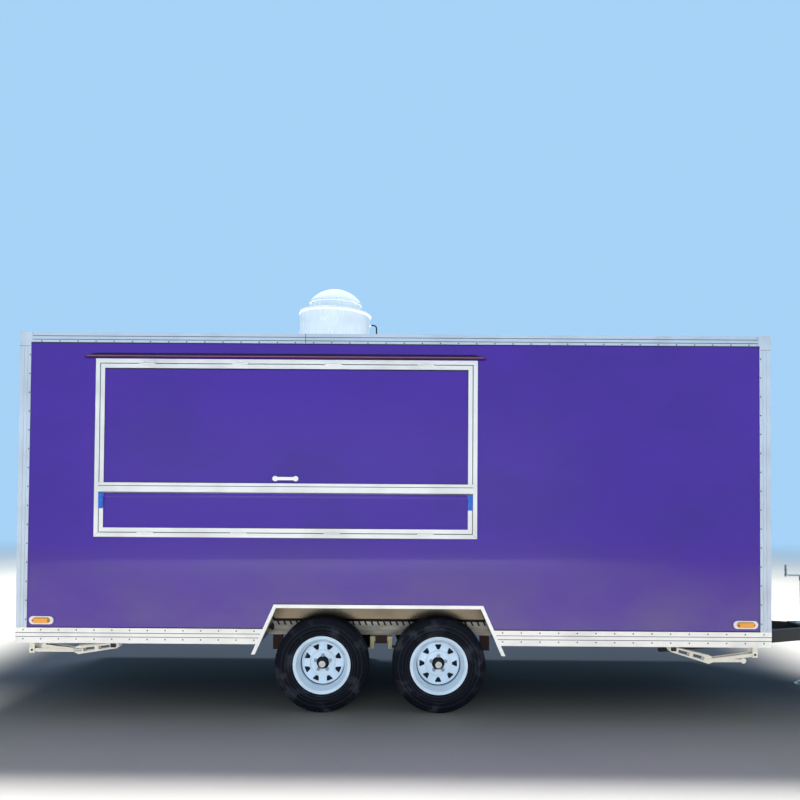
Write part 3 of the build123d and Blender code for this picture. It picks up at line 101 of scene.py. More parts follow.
class Value:
    """A shader number whose arithmetic adds Math nodes."""

    def __init__(self, bench: Nodes, socket: bpy.types.NodeSocket) -> None:
        """Wrap the output that carries the number."""
        self.bench = bench
        self.socket = socket

    def math(self, operation: str, *others: Value | float) -> Value:
        """Add one Math node.

        Args:
            operation: Blender's name of the operation.
            others: The remaining operands.

        Returns:
            The node's result.
        """
        node = self.bench.node("ShaderNodeMath", {"operation": operation}, dict(enumerate((self, *others))))
        return Value(self.bench, node.outputs[0])

    def __add__(self, other: Value | float) -> Value:
        """Sum of two values."""
        return self.math("ADD", other)

    __radd__ = __add__

    def __mul__(self, other: Value | float) -> Value:
        """Product of two values."""
        return self.math("MULTIPLY", other)

    __rmul__ = __mul__

    def __sub__(self, other: Value | float) -> Value:
        """Difference of two values."""
        return self.math("SUBTRACT", other)

    def __rsub__(self, other: float) -> Value:
        """A number less this value."""
        return (self * -1.0) + other

    def above(self, limit: float) -> Value:
        """1 where the value is over a limit, otherwise 0."""
        return self.math("GREATER_THAN", limit)

    def below(self, limit: float) -> Value:
        """0 where the value is over a limit, otherwise 1."""
        return 1.0 - self.above(limit)

    def between(self, low: float, high: float) -> Value:
        """1 where the value lies between two limits, otherwise 0."""
        return self.above(low) - self.above(high)

    def ramp(self, low: float, high: float) -> Value:
        """Climb smoothly from 0 at one value to 1 at another.

        Args:
            low: Where the result is 0.
            high: Where the result is 1.

        Returns:
            The smoothed step.
        """
        settings = {"interpolation_type": "SMOOTHSTEP"}
        inputs = {"Value": self, "From Min": low, "From Max": high}
        node = self.bench.node("ShaderNodeMapRange", settings, inputs)
        return Value(self.bench, node.outputs["Result"])


class Nodes:
    """A node tree under construction."""

    def __init__(self, tree: bpy.types.NodeTree) -> None:
        """Empty a tree and build in it."""
        self.tree = tree
        self.tree.nodes.clear()

    def wire(self, target: bpy.types.NodeSocket, item: Value | bpy.types.NodeSocket | float | Colour) -> None:
        """Set or link one input.

        Args:
            target: The input.
            item: Its value or link.
        """
        source = item.socket if isinstance(item, Value) else item
        if isinstance(source, bpy.types.NodeSocket):
            self.tree.links.new(source, target)
        elif target.type == "RGBA":
            target.default_value = (*source, 1.0)
        else:
            target.default_value = source

    def node(self, kind: str, settings: dict | None = None, sockets: dict | None = None) -> bpy.types.Node:
        """Add a node, set it and wire it.

        Args:
            kind: Blender's type of the node.
            settings: Properties that are set before the sockets.
            sockets: Values or links by the input's name or index.

        Returns:
            The new node.
        """
        node = self.tree.nodes.new(kind)
        for key, item in (settings or {}).items():
            setattr(node, key, item)
        for key, item in (sockets or {}).items():
            self.wire(node.inputs[key], item)
        return node


class Bench(Nodes):
    """The node tree of one material under construction."""

    def __init__(self, name: str) -> None:
        """Start an empty material.

        Args:
            name: The material's name.
        """
        self.material = bpy.data.materials.new(name)
        self.material.use_nodes = True
        super().__init__(self.material.node_tree)
        self.place = self.node("ShaderNodeTexCoord").outputs["Object"]
        self.shader = self.node("ShaderNodeBsdfPrincipled")
        self.output = self.node("ShaderNodeOutputMaterial", None, {"Surface": self.shader.outputs[0]})

    def coordinate(self, axis: Axis) -> Value:
        """One coordinate of the surface point in the trailer's frame."""
        node = self.node("ShaderNodeSeparateXYZ", None, {0: self.place})
        return Value(self, node.outputs[axis.value])

    def noise(self, scale: float, stretch: Point = (1.0, 1.0, 1.0), detail: float = 3.0) -> Value:
        """Noise on the object's own coordinates.

        Args:
            scale: Lumps per metre.
            stretch: Factors on the three coordinates; a low one draws the noise out along its axis.
            detail: Octaves of finer noise.

        Returns:
            A value that varies about 0.5.
        """
        spread = self.node("ShaderNodeMapping", None, {"Vector": self.place, "Scale": stretch})
        inputs = {"Vector": spread.outputs[0], "Scale": scale, "Detail": detail}
        return Value(self, self.node("ShaderNodeTexNoise", None, inputs).outputs[0])

    def mix(
        self, factor: Value, first: Colour | bpy.types.NodeSocket, second: Colour | bpy.types.NodeSocket
    ) -> bpy.types.NodeSocket:
        """Mix two colours.

        Args:
            factor: 0 gives the first colour and 1 the second.
            first: The first colour or its link.
            second: The second colour or its link.

        Returns:
            The colour's socket.
        """
        return self.node("ShaderNodeMix", {"data_type": "RGBA"}, {0: factor, 6: first, 7: second}).outputs[2]

    def mottle(self, factor: Value, colour: Colour, share: float) -> bpy.types.NodeSocket:
        """Mix a colour with a darker one of the same hue.

        Args:
            factor: 0 gives the colour and 1 the darker one.
            colour: The colour.
            share: Brightness of the darker one as a share of the colour's.

        Returns:
            The colour's socket.
        """
        return self.mix(factor, colour, tuple(share * channel for channel in colour))

    def distance(self, places: Span = AXLES, height: float = AXLE_HEIGHT) -> Value:
        """Give the distance from the nearer of two crosswise lines, seen from the side.

        Args:
            places: X of the lines, which are the axles unless others are named.
            height: Their height.

        Returns:
            The distance.
        """
        up = self.coordinate(Axis.Z) - height
        along = [self.coordinate(Axis.X) - place for place in places]
        squares = [item * item + up * up for item in along]
        return squares[0].math("MINIMUM", squares[1]).math("SQRT")

    def off_middle(self) -> Value:
        """Give the distance from the trailer's middle plane."""
        return self.coordinate(Axis.Y).math("ABSOLUTE")

    def feed(self, name: str, item: Value | bpy.types.NodeSocket | float | Colour) -> None:
        """Set or link the shader's input of that name."""
        self.wire(self.shader.inputs[name], item)

    def surface(self, colour: bpy.types.NodeSocket, roughness: Value) -> None:
        """Link the colour and the roughness."""
        self.feed("Base Color", colour)
        self.feed("Roughness", roughness)

    def emboss(self, height: Value, strength: float, distance: float) -> None:
        """Give the surface relief.

        Args:
            height: The height, from 0 to 1.
            strength: How much of the relief shows.
            distance: The relief's depth in metres.
        """
        inputs = {"Height": height, "Strength": strength, "Distance": distance}
        self.feed("Normal", self.node("ShaderNodeBump", None, inputs).outputs[0])


@dataclass(frozen=True)
class Finish:
    """A surface finish.

    Attributes:
        name: The material's name.
        colour: Its main colour.
        roughness: Its mean roughness.
        metallic: 1 for bare metal.
        coat: Weight of a clear coat.
        uneven: How far the roughness wanders.
        grain: Lumps of fine unevenness per metre.
        relief: Depth of the fine unevenness in metres.
        sheen: Strength of the plain reflection, 0.5 for most things.
    """

    name: str
    colour: Colour
    roughness: float
    metallic: float = 0.0
    coat: float = 0.0
    uneven: float = 0.06
    grain: float = 60.0
    relief: float = 0.0002
    sheen: float = 0.5

    def make(self) -> bpy.types.Material:
        """Build the material once and hand the same one out afterwards.

        Returns:
            The material.
        """
        known = bpy.data.materials.get(self.name)
        if known:
            return known
        bench = Bench(self.name)
        bench.feed("Metallic", self.metallic)
        bench.feed("Coat Weight", self.coat)
        bench.feed("Specular IOR Level", self.sheen)
        self.dress(bench)
        return bench.material

    def dress(self, bench: Bench) -> None:
        """Vary the colour, roughness and normal gently.

        Args:
            bench: The material's node bench.
        """
        cloud, fine = bench.noise(3.0), bench.noise(self.grain)
        tone = bench.mottle(cloud.ramp(0.3, 0.8) * 0.6, self.colour, 0.8)
        bench.surface(tone, (fine - 0.5) * (2.0 * self.uneven) + self.roughness)
        bench.emboss(fine, 0.4, self.relief)


@dataclass(frozen=True)
class PanelPaint(Finish):
    """Glossy wall skin with a plain inner face and a patchy paler pinkish-grey tint low down.

    Attributes:
        inner: Colour of the face that looks into the cabin.
        axis: The coordinate that tells the inner face from the outer one.
        limit: Where the inner colour ends, as a distance from the trailer's middle.
        low_tint: Colour of the patchy paler tint low down.
        tint_heights: Heights at which the tint is full and has ended.
        floor: Height under which the inner face carries painted shade.
        underside: Colour of the painted shade on the inner face under the floor.
    """

    inner: Colour = (0.72, 0.72, 0.70)
    axis: Axis = Axis.Y
    limit: float = 1.03
    low_tint: Colour = (0.34, 0.29, 0.30)
    tint_heights: Span = (0.55, 1.35)
    floor: float = 0.64
    underside: Colour = (0.012, 0.012, 0.014)

    def dress(self, bench: Bench) -> None:
        """Paint the outside, leave the inside plain and lay a patchy paler tint low down.

        Args:
            bench: The material's node bench.
        """
        height = bench.coordinate(Axis.Z)
        inside = bench.coordinate(self.axis).math("ABSOLUTE").below(self.limit)
        cloud = bench.noise(1.3, (1.0, 1.0, 1.6))
        # A patchy paler pinkish-grey tint lies over the skin, full below 0.55 m and gone above 1.35 m.
        low = (1.0 - height.ramp(*self.tint_heights)) * cloud.ramp(0.25, 0.75)
        skin = bench.mottle(cloud.ramp(0.35, 0.7), self.colour, 0.86)
        skin = bench.mix(low * 0.16, skin, self.low_tint)
        skin = bench.mix(inside, skin, self.inner)
        # Painted shade: the inner face under the cabin floor is near black.
        skin = bench.mix(inside * height.below(self.floor), skin, self.underside)
        bench.surface(skin, low * 0.10 + (cloud - 0.5) * 0.06 + self.roughness)
        bench.emboss(bench.noise(2.2, (1.0, 1.0, 0.7), 1.0), 0.35, 0.004)


@dataclass(frozen=True)
class Extrusion(Finish):
    """Mill-finished aluminium drawn along one axis.

    Attributes:
        drawn: The axis of the die lines.
        grooves: Lower and upper edge of each level groove, where shade and dirt gather.
        groove_tone: Colour in the grooves.
    """

    drawn: Axis = Axis.X
    grooves: tuple[Span, ...] = ()
    groove_tone: Colour = (0.10, 0.12, 0.15)

    def dress(self, bench: Bench) -> None:
        """Draw fine die lines along the strip, over faint stains.

        Args:
            bench: The material's node bench.
        """
        stretch = [1.0, 1.0, 1.0]
        stretch[self.drawn.value] = 0.01
        lines, stain = bench.noise(260.0, tuple(stretch), 2.0), bench.noise(4.0)
        height = bench.coordinate(Axis.Z)
        tone = bench.mottle(stain.ramp(0.35, 0.75), self.colour, 0.84)
        for groove in self.grooves:
            tone = bench.mix(height.between(*groove), tone, self.groove_tone)
        bench.surface(tone, (lines - 0.5) * 0.16 + stain * 0.08 + self.roughness)
        bench.emboss(lines, 0.25, 0.0002)


@dataclass(frozen=True)
class Galvanised(Finish):
    """Zinc-coated steel with spangle.

    Attributes:
        dirt: Colour of the dirt.
    """

    dirt: Colour = (0.16, 0.14, 0.12)

    def dress(self, bench: Bench) -> None:
        """Scatter crystals of zinc in slightly different greys.

        Args:
            bench: The material's node bench.
        """
        crystals = bench.node("ShaderNodeTexVoronoi", None, {"Vector": bench.place, "Scale": 70.0})
        grey = Value(bench, bench.node("ShaderNodeRGBToBW", None, {0: crystals.outputs["Color"]}).outputs[0])
        patches = bench.noise(9.0)
        tone = bench.mottle(grey, self.colour, 0.68)
        tone = bench.mix(patches.ramp(0.5, 0.8) * 0.5, tone, self.dirt)
        bench.surface(tone, grey * 0.15 + patches * 0.12 + self.roughness)
        bench.emboss(patches, 0.2, 0.0005)


@dataclass(frozen=True)
class RibbedLens(Finish):
    """Moulded lamp lens with upright ribs.

    Attributes:
        along: The axis that crosses the ribs.
        pitch: Distance between ribs.
    """

    along: Axis = Axis.X
    pitch: float = 0.0065

    def dress(self, bench: Bench) -> None:
        """Raise the ribs and tint the grooves.

        Args:
            bench: The material's node bench.
        """
        rib = (bench.coordinate(self.along) * (math.tau / self.pitch)).math("SINE") * 0.5 + 0.5
        tone = bench.mottle(1.0 - rib, self.colour, 0.45)
        bench.surface(tone, bench.noise(40.0) * 0.08 + self.roughness)
        bench.emboss(rib, 0.8, 0.0015)


@dataclass(frozen=True)
class HubMetal(Finish):
    """Drum and bore dark with black paint and painted shade, with a bright cap and bright studs outboard of
    the wheel disc.

    Attributes:
        face: Distance of the disc's outer face from the trailer's middle.
        ring: Radius of the cap's bright face and of the disc's bore, with a ring of black paint and painted
            shade between them.
        drum: Colour of the drum's black paint, also used as painted shade in the bore and behind the disc.
        drum_rough: Roughness of the drum.
        dirt: Colour of the dirt on the bright faces.
    """

    face: float = 0.878
    ring: Span = (0.0245, 0.0475)
    drum: Colour = (0.006, 0.006, 0.008)
    drum_rough: float = 0.75
    dirt: Colour = (0.30, 0.28, 0.25)

    def dress(self, bench: Bench) -> None:
        """Split drum, bore and cap by their distances from the axle and from the trailer's middle.

        Args:
            bench: The material's node bench.
        """
        # Black paint and painted shade: all inboard of the disc's face, and the ring in the bore, take the
        # drum's near-black colour.
        clean = bench.off_middle().above(self.face) * (1.0 - bench.distance().between(*self.ring))
        patches = bench.noise(30.0)
        bright = bench.mix(patches.ramp(0.4, 0.8) * 0.4, self.colour, self.dirt)
        rough = self.drum_rough - clean * (self.drum_rough - self.roughness)
        bench.surface(bench.mix(clean, self.drum, bright), rough + (patches - 0.5) * 0.1)
        bench.feed("Metallic", clean)
        bench.emboss(patches, 0.3, 0.0004)


@dataclass(frozen=True)
class RimPaint(Finish):
    """Lacquered wheel with painted shade in the bore, along the line where disc and barrel meet, and over the
    inner side.

    Attributes:
        inner: Distance from the trailer's middle under which the wheel carries painted shade.
        joint: Inner and outer radius of the painted shadow line where disc and barrel meet.
        joint_face: Distance from the trailer's middle under which that line shows.
        bore: Radius of the disc's bore with its edge, inside which the wheel carries painted shade.
        rim_shade: Colour of the painted shade.
    """

    inner: float = 0.879
    joint: Span = (0.1595, 0.166)
    joint_face: float = 0.892
    bore: float = 0.0475
    rim_shade: Colour = (0.012, 0.012, 0.016)

    def dress(self, bench: Bench) -> None:
        """Split the wheel by its distances from the axle and from the trailer's middle.

        Args:
            bench: The material's node bench.
        """
        radius, depth, cloud = bench.distance(), bench.off_middle(), bench.noise(7.0)
        line = radius.between(*self.joint) * depth.below(self.joint_face)
        # Painted shade: the bore, the line where disc and barrel meet and the whole inner side turn near
        # black.
        dark = (line + radius.below(self.bore)).math("MAXIMUM", depth.below(self.inner))
        paint = bench.mottle(cloud.ramp(0.35, 0.75), self.colour, 0.82)
        bench.surface(bench.mix(dark, paint, self.rim_shade), dark * 0.4 + cloud * 0.08 + self.roughness)
        bench.emboss(bench.noise(120.0), 0.2, 0.0002)


@dataclass(frozen=True)
class MountSteel(Finish):
    """Cream end brackets with dark pins, on a dark screw and dark straps.

    Attributes:
        brackets: X beyond which the rear and the front brackets begin.
        pins: X of the rear and front pins.
        pin_height: Height of the pins.
        pin: Radius of a pin.
        screw: Colour of screws, straps and pins.
        dirt: Colour of the dirt on the brackets.
    """

    brackets: Span = (-3.252, 2.082)
    pins: Span = (-3.273, 2.103)
    pin_height: float = 0.434
    pin: float = 0.0085
    screw: Colour = (0.022, 0.020, 0.019)
    dirt: Colour = (0.45, 0.42, 0.34)

    def dress(self, bench: Bench) -> None:
        """Coat the brackets and leave the rest dark.

        Args:
            bench: The material's node bench.
        """
        x, patches = bench.coordinate(Axis.X), bench.noise(25.0)
        outer = x.below(self.brackets[0]) + x.above(self.brackets[1])
        clear = bench.distance(self.pins, self.pin_height).above(self.pin)
        coat = bench.mix(patches.ramp(0.45, 0.8) * 0.4, self.colour, self.dirt)
        bench.surface(bench.mix(outer * clear, self.screw, coat), patches * 0.15 + self.roughness)
        bench.emboss(patches, 0.3, 0.0004)


@dataclass(frozen=True)
class TyreRubber(Finish):
    """Rubber with moulded rings carrying painted highlights, and bluish marks of wear and painted sheen on
    the side wall.

    Attributes:
        rings: Inner and outer radius of each moulded ring, which carries a painted highlight.
        wear_and_sheen: Bluish colour of the painted highlights on the rings and of the marks of wear and
            painted sheen.
    """

    rings: tuple[Span, ...] = ((0.226, 0.230), (0.244, 0.247), (0.268, 0.271), (0.296, 0.300))
    wear_and_sheen: Colour = (0.040, 0.045, 0.058)

    def dress(self, bench: Bench) -> None:
        """Brighten the rings as painted highlights and mark the wall unevenly with wear and painted sheen.

        Args:
            bench: The material's node bench.
        """
        radius, fine = bench.distance(), bench.noise(70.0)
        # Painted light: bluish marks of wear and sheen over the wall, and painted highlights along the rings.
        mark = bench.noise(9.0, (1.0, 0.3, 1.0)).ramp(0.48, 0.70) * 0.5 + fine.ramp(0.50, 0.72) * 0.2
        for ring in self.rings:
            mark = mark + radius.between(*ring) * 0.45
        tone = bench.mix(mark.ramp(0.0, 1.0), self.colour, self.wear_and_sheen)
        bench.surface(tone, (fine - 0.5) * 0.2 + self.roughness)
        bench.emboss(fine, 0.5, self.relief)


@dataclass(frozen=True)
class DripPaint(Finish):
    """Painted drip rail with painted shade along its upper lip and a painted highlight on its face.

    Attributes:
        face: Lower edge of the painted highlight.
        lip: Lower edge of the painted shade along the lip.
        pale: Colour of the painted highlight.
        dark: Colour of the painted shade.
    """

    face: float = 2.6075
    lip: float = 2.6170
    pale: Colour = (0.24, 0.085, 0.16)
    dark: Colour = (0.012, 0.004, 0.045)

    def dress(self, bench: Bench) -> None:
        """Band the rail by height into painted highlight and painted shade.

        Args:
            bench: The material's node bench.
        """
        height, cloud = bench.coordinate(Axis.Z), bench.noise(5.0)
        # Painted highlight on the face, painted shade on the lip above it.
        tone = bench.mix(height.above(self.face), self.colour, self.pale)
        bench.surface(bench.mix(height.above(self.lip), tone, self.dark), cloud * 0.08 + self.roughness)
        bench.emboss(cloud, 0.2, 0.0005)


@dataclass(frozen=True)
class RailSteel(Finish):
    """Galvanised rail with primed hangers below it.

    Attributes:
        underside: Height of the rail's lower face.
        notches: Lower edge of the row of notches along the rail's top, and their pitch.
        slant: How fast the notches lean back as they rise.
        slot: X, height and half sizes of the oval slot at the rail's rear.
        shade: Colour in the notches and the slot.
        primer: Colour of the hangers.
        primer_rough: Roughness of the hangers.
    """

    underside: float = 0.528
    notches: Span = (0.602, 0.048)
    slant: float = 60.0
    slot: tuple[float, float, float, float] = (-1.518, 0.585, 0.016, 0.026)
    shade: Colour = (0.02, 0.02, 0.02)
    primer: Colour = (0.028, 0.012, 0.010)
    primer_rough: float = 0.7

    def dress(self, bench: Bench) -> None:
        """Keep zinc on the rail, paint the hangers and streak both with dirt.

        Args:
            bench: The material's node bench.
        """
        x, height = bench.coordinate(Axis.X), bench.coordinate(Axis.Z)
        rail, streak = height.above(self.underside), bench.noise(14.0, (0.3, 1.0, 1.0))
        wave = (x * (math.tau / self.notches[1]) + height * self.slant).math("SINE")
        cuts = wave.above(0.55) * height.above(self.notches[0])
        off_x = (x - self.slot[0]) * (1.0 / self.slot[2])
        off_z = (height - self.slot[1]) * (1.0 / self.slot[3])
        gaps = cuts.math("MAXIMUM", (off_x * off_x + off_z * off_z).below(1.0))
        zinc = bench.mottle(streak.ramp(0.4, 0.7), self.colour, 0.5)
        zinc = bench.mix(gaps, zinc, self.shade)
        rough = self.primer_rough - rail * (self.primer_rough - self.roughness)
        bench.surface(bench.mix(rail, self.primer, zinc), rough + (streak - 0.5) * 0.15)
        bench.feed("Metallic", rail * 0.8)
        bench.emboss(streak, 0.3, 0.0005)


@dataclass(frozen=True)
class FloorBoard(Finish):
    """Cabin floor with a speckled sheet on top and bare ply below.

    Attributes:
        top: Height of the floor's upper face.
        speckle: Colour of the specks.
        ply: Colour of the underside.
    """

    top: float = 0.68
    speckle: Colour = (0.12, 0.12, 0.13)
    ply: Colour = (0.20, 0.14, 0.09)

    def dress(self, bench: Bench) -> None:
        """Speckle the upper face and grain the lower one.

        Args:
            bench: The material's node bench.
        """
        upper, grain = bench.coordinate(Axis.Z).above(self.top), bench.noise(30.0, (0.05, 1.0, 1.0))
        sheet = bench.mix(bench.noise(180.0).ramp(0.52, 0.62) * 0.5, self.colour, self.speckle)
        wood = bench.mottle(grain.ramp(0.35, 0.65), self.ply, 0.6)
        bench.surface(bench.mix(upper, wood, sheet), grain * 0.2 + self.roughness)
        bench.emboss(grain, 0.3, 0.0006)


class Palette:
    """The finishes of the trailer's pieces."""

    violet: Colour = (0.050, 0.006, 0.280)
    silver: Colour = (0.84, 0.82, 0.79)
    # Painted reflection: the uprights and roof edges use a bluish silver that stands for the sky's light on
    # them.
    sky_tinted_silver: Colour = (0.60, 0.66, 0.74)
    ivory: Colour = (0.86, 0.83, 0.72)
    side_wall = PanelPaint("violet_side_skin", violet, 0.16, coat=0.5)
    end_wall = PanelPaint("violet_end_skin", violet, 0.16, coat=0.5, axis=Axis.X, limit=2.14)
    rear_wall = PanelPaint("violet_rear_skin", violet, 0.16, coat=0.5, axis=Axis.X, limit=3.315)
    hatch_skin = PanelPaint("violet_hatch_skin", violet, 0.15, coat=0.5, limit=1.040)
    door_skin = PanelPaint("violet_door_skin", violet, 0.16, coat=0.5, axis=Axis.X, limit=3.318)
    roof = Finish("roof_sheet", (0.66, 0.66, 0.64), 0.45, uneven=0.1)
    trim_long = Extrusion("aluminium_along", silver, 0.34, metallic=0.4)
    # Painted light: the skirt's strip is whiter and warmer than the other silver strips, as if lit by the
    # bright ground.
    trim_skirt = Extrusion(
        "aluminium_skirt", (0.94, 0.93, 0.89), 0.34, metallic=0.1, grooves=((0.553, 0.558), (0.581, 0.586))
    )
    trim_bar = Extrusion("aluminium_hatch", silver, 0.34, metallic=0.4, grooves=((1.657, 1.662),))
    trim_arch = Extrusion("aluminium_arch_edge", (0.93, 0.93, 0.92), 0.34, metallic=0.2)
    trim_up = Extrusion("aluminium_upright", sky_tinted_silver, 0.34, metallic=0.4, drawn=Axis.Z)
    trim_top = Extrusion(
        "aluminium_roof_edge", sky_tinted_silver, 0.34, metallic=0.5, grooves=((2.730, 2.735), (2.7555, 2.7605))
    )
    # Painted shade: the arch sheet's colour is darkened for the shade in the arch, and its near-black band
    # from 0.50 to 0.651 m high is painted shade round the wheels, not a groove.
    liner = Extrusion(
        "arch_sheet", (0.205, 0.165, 0.118), 0.17, metallic=0.9,
        grooves=((0.50, 0.651),), groove_tone=(0.006, 0.006, 0.008),
    )
    maroon = DripPaint("drip_rail_paint", (0.030, 0.004, 0.028), 0.30, coat=0.1, sheen=0.3)
    white_grip = Finish("white_grip", (0.80, 0.80, 0.78), 0.32, coat=0.2)
    film = Finish("clear_blue_film", (0.012, 0.12, 0.60), 0.28, coat=0.3, relief=0.0008)
    floor = FloorBoard("cabin_floor_board", (0.33, 0.34, 0.36), 0.5)
    zinc = Galvanised("galvanised_steel", (0.62, 0.62, 0.60), 0.38, metallic=0.9)
    bright_zinc = Finish("bright_zinc", (0.70, 0.70, 0.68), 0.28, metallic=1.0)
    chassis = Finish("chassis_black", (0.016, 0.015, 0.015), 0.55, uneven=0.12, relief=0.0005)
    rail = RailSteel("rail_steel", (0.42, 0.38, 0.32), 0.42)
    black_tube = Finish("gas_strut_black", (0.012, 0.012, 0.012), 0.3, coat=0.2)
    chrome = Finish("strut_rod_chrome", (0.78, 0.78, 0.78), 0.08, metallic=1.0, uneven=0.02)
    lamp_base = Finish("lamp_base", (0.78, 0.78, 0.76), 0.25, coat=0.3)
    amber = RibbedLens("amber_lens", (0.88, 0.30, 0.025), 0.12, coat=0.6)
    red = RibbedLens("red_lens", (0.55, 0.01, 0.01), 0.12, coat=0.6, along=Axis.Y)
    fan_sheet = Extrusion("fan_sheet", (0.90, 0.93, 0.95), 0.26, metallic=0.55, drawn=Axis.Z)
    rubber = Finish("black_rubber", (0.006, 0.006, 0.007), 0.55, uneven=0.1, sheen=0.2)
    seal = Finish("dark_seal", (0.035, 0.035, 0.045), 0.6)
    # Sealing beads that also serve as painted shadow lines along the trim.
    sealant = Finish("panel_sealant", (0.012, 0.008, 0.030), 0.5, sheen=0.3)
    joint = Finish("joint_shadow", (0.03, 0.03, 0.035), 0.7)
    rivet = Finish("rivet_head", (0.075, 0.085, 0.11), 0.45, metallic=0.3)
    # Painted light: the lacquer's blue tint and the nuts' blue-grey stand for blue sky light on silver metal.
    rim = RimPaint("wheel_lacquer", (0.64, 0.82, 0.99), 0.30, coat=0.5)
    nut = Finish("wheel_nut", (0.34, 0.42, 0.54), 0.35, metallic=0.5)
    tread = TyreRubber("tread_rubber", (0.0042, 0.0048, 0.0085), 0.60, relief=0.0006, sheen=0.12)
    links = Finish("yellow_zinc", (0.44, 0.42, 0.24), 0.36, metallic=0.6)
    cream = Finish("cream_coat", ivory, 0.42, relief=0.0004)
    mounts = MountSteel("stabiliser_bracket", ivory, 0.42)
    hub = HubMetal("hub_metal", (0.66, 0.66, 0.64), 0.26)


class Shop:
    """Adds, shapes, joins and finishes pieces with Blender's own operators."""

    smooth_angle = math.radians(35.0)
    bevel_angle = 0.6

    @staticmethod
    def clear() -> None:
        """Leave edit mode and select nothing."""
        if bpy.context.object and bpy.context.object.mode != "OBJECT":
            bpy.ops.object.mode_set(mode="OBJECT")
        bpy.ops.object.select_all(action="DESELECT")

    @classmethod
    def choose(cls, *pieces: bpy.types.Object) -> None:
        """Select pieces alone and make the first one active.

        Args:
            pieces: The pieces.
        """
        cls.clear()
        for piece in pieces:
            piece.select_set(True)
        bpy.context.view_layer.objects.active = pieces[0]

    @staticmethod
    def call(name: str) -> bpy.types.Object:
        """Name the active piece and its mesh.

        Args:
            name: The name.

        Returns:
            The piece.
        """
        piece = bpy.context.object
        piece.name = name
        piece.data.name = name
        return piece

    @classmethod
    def take(cls, name: str) -> bpy.types.Object:
        """Bake the active piece's place into its mesh and name it."""
        bpy.ops.object.transform_apply(location=True, rotation=True, scale=True)
        return cls.call(name)

    @classmethod
    def box(cls, name: str, low: Point | Vector, high: Point | Vector) -> bpy.types.Object:
        """Add a box between two corners.

        Args:
            name: The piece's name.
            low: One corner.
            high: The opposite corner.

        Returns:
            The box, with its place in its mesh.
        """
        cls.clear()
        middle = [(a + b) / 2 for a, b in zip(low, high)]
        bpy.ops.mesh.primitive_cube_add(size=1.0, location=middle)
        bpy.context.object.scale = [abs(b - a) for a, b in zip(low, high)]
        return cls.take(name)

    @classmethod
    def drum(
        cls, name: str, start: Point | Vector, end: Point | Vector, radius: float, sides: int
    ) -> bpy.types.Object:
        """Add a round bar between two points.

        Args:
            name: The piece's name.
            start: Middle of one end.
            end: Middle of the other end.
            radius: The bar's radius.
            sides: Facets round it.

        Returns:
            The bar, with its place in its mesh.
        """
        cls.clear()
        run = Vector(end) - Vector(start)
        turn = run.to_track_quat("Z", "Y").to_euler()
        middle = (Vector(start) + Vector(end)) / 2
        bpy.ops.mesh.primitive_cylinder_add(
            vertices=sides, radius=radius, depth=run.length, location=middle, rotation=turn
        )
        return cls.take(name)

    @classmethod
    def modify(cls, piece: bpy.types.Object, kind: str, **settings: object) -> None:
        """Add one modifier and apply it.

        Args:
            piece: The piece.
            kind: Blender's type of the modifier.
            settings: Its properties.
        """
        cls.choose(piece)
        modifier = piece.modifiers.new(kind.lower(), kind)
        for key, item in settings.items():
            setattr(modifier, key, item)
        bpy.ops.object.modifier_apply(modifier=modifier.name)

    @classmethod
    def bevel(cls, piece: bpy.types.Object, width: float, segments: int = 2) -> bpy.types.Object:
        """Round a piece's sharp edges and hand it back."""
        limit = {"limit_method": "ANGLE", "angle_limit": cls.bevel_angle}
        cls.modify(piece, "BEVEL", width=width, segments=segments, **limit)
        return piece

    @classmethod
    def repeat(cls, piece: bpy.types.Object, count: int, step: Point) -> bpy.types.Object:
        """Repeat a piece in a row.

        Args:
            piece: The first copy.
            count: How many copies there are in all.
            step: The move from one copy to the next.

        Returns:
            The row as one mesh.
        """
        offset = {"use_relative_offset": False, "use_constant_offset": True, "constant_offset_displace": step}
        cls.modify(piece, "ARRAY", count=count, **offset)
        return piece

    @classmethod
    @contextmanager
    def editing(cls, piece: bpy.types.Object) -> Iterator[None]:
        """Work on a piece's faces in edit mode, with nothing selected at first.

        Args:
            piece: The piece.

        Yields:
            Nothing; operators act inside the block.
        """
        cls.choose(piece)
        bpy.ops.object.mode_set(mode="EDIT")
        bpy.ops.mesh.select_mode(type="FACE")
        bpy.ops.mesh.select_all(action="DESELECT")
        yield
        bpy.ops.object.mode_set(mode="OBJECT")

    @staticmethod
    def pick(test: Callable[[Vector, Vector], bool]) -> None:
        """Select the faces of the piece in edit mode that pass a test.

        Args:
            test: Takes a face's middle and its normal.
        """
        data = bpy.context.object.data
        mesh = bmesh.from_edit_mesh(data)
        for face in mesh.faces:
            face.select_set(test(face.calc_center_median(), face.normal))
        mesh.select_flush(True)
        bmesh.update_edit_mesh(data)

    @classmethod
    def join(cls, name: str, parts: list[bpy.types.Object]) -> bpy.types.Object:
        """Join pieces into one.

        Args:
            name: The joined piece's name.
            parts: The pieces.

        Returns:
            The joined piece.
        """
        cls.choose(*parts)
        if len(parts) > 1:
            bpy.ops.object.join()
        return cls.call(name)

    @classmethod
    def seat(cls, piece: bpy.types.Object, body: str, slot: str, finish: Finish) -> bpy.types.Object:
        """Finish a piece and hang it on a body.

        Args:
            piece: The piece.
            body: The body that it rides on.
            slot: A slot's name, which is not used.
            finish: Its finish.

        Returns:
            The piece.
        """
        cls.choose(piece)
        bpy.ops.object.shade_smooth_by_angle(angle=cls.smooth_angle)
        piece.data.materials.clear()
        piece.data.materials.append(finish.make())
        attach(piece, body)
        return piece


def corners(node: str) -> tuple[Vector, Vector]:
    """Lowest and highest corner of a node of the frame."""
    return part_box(node)


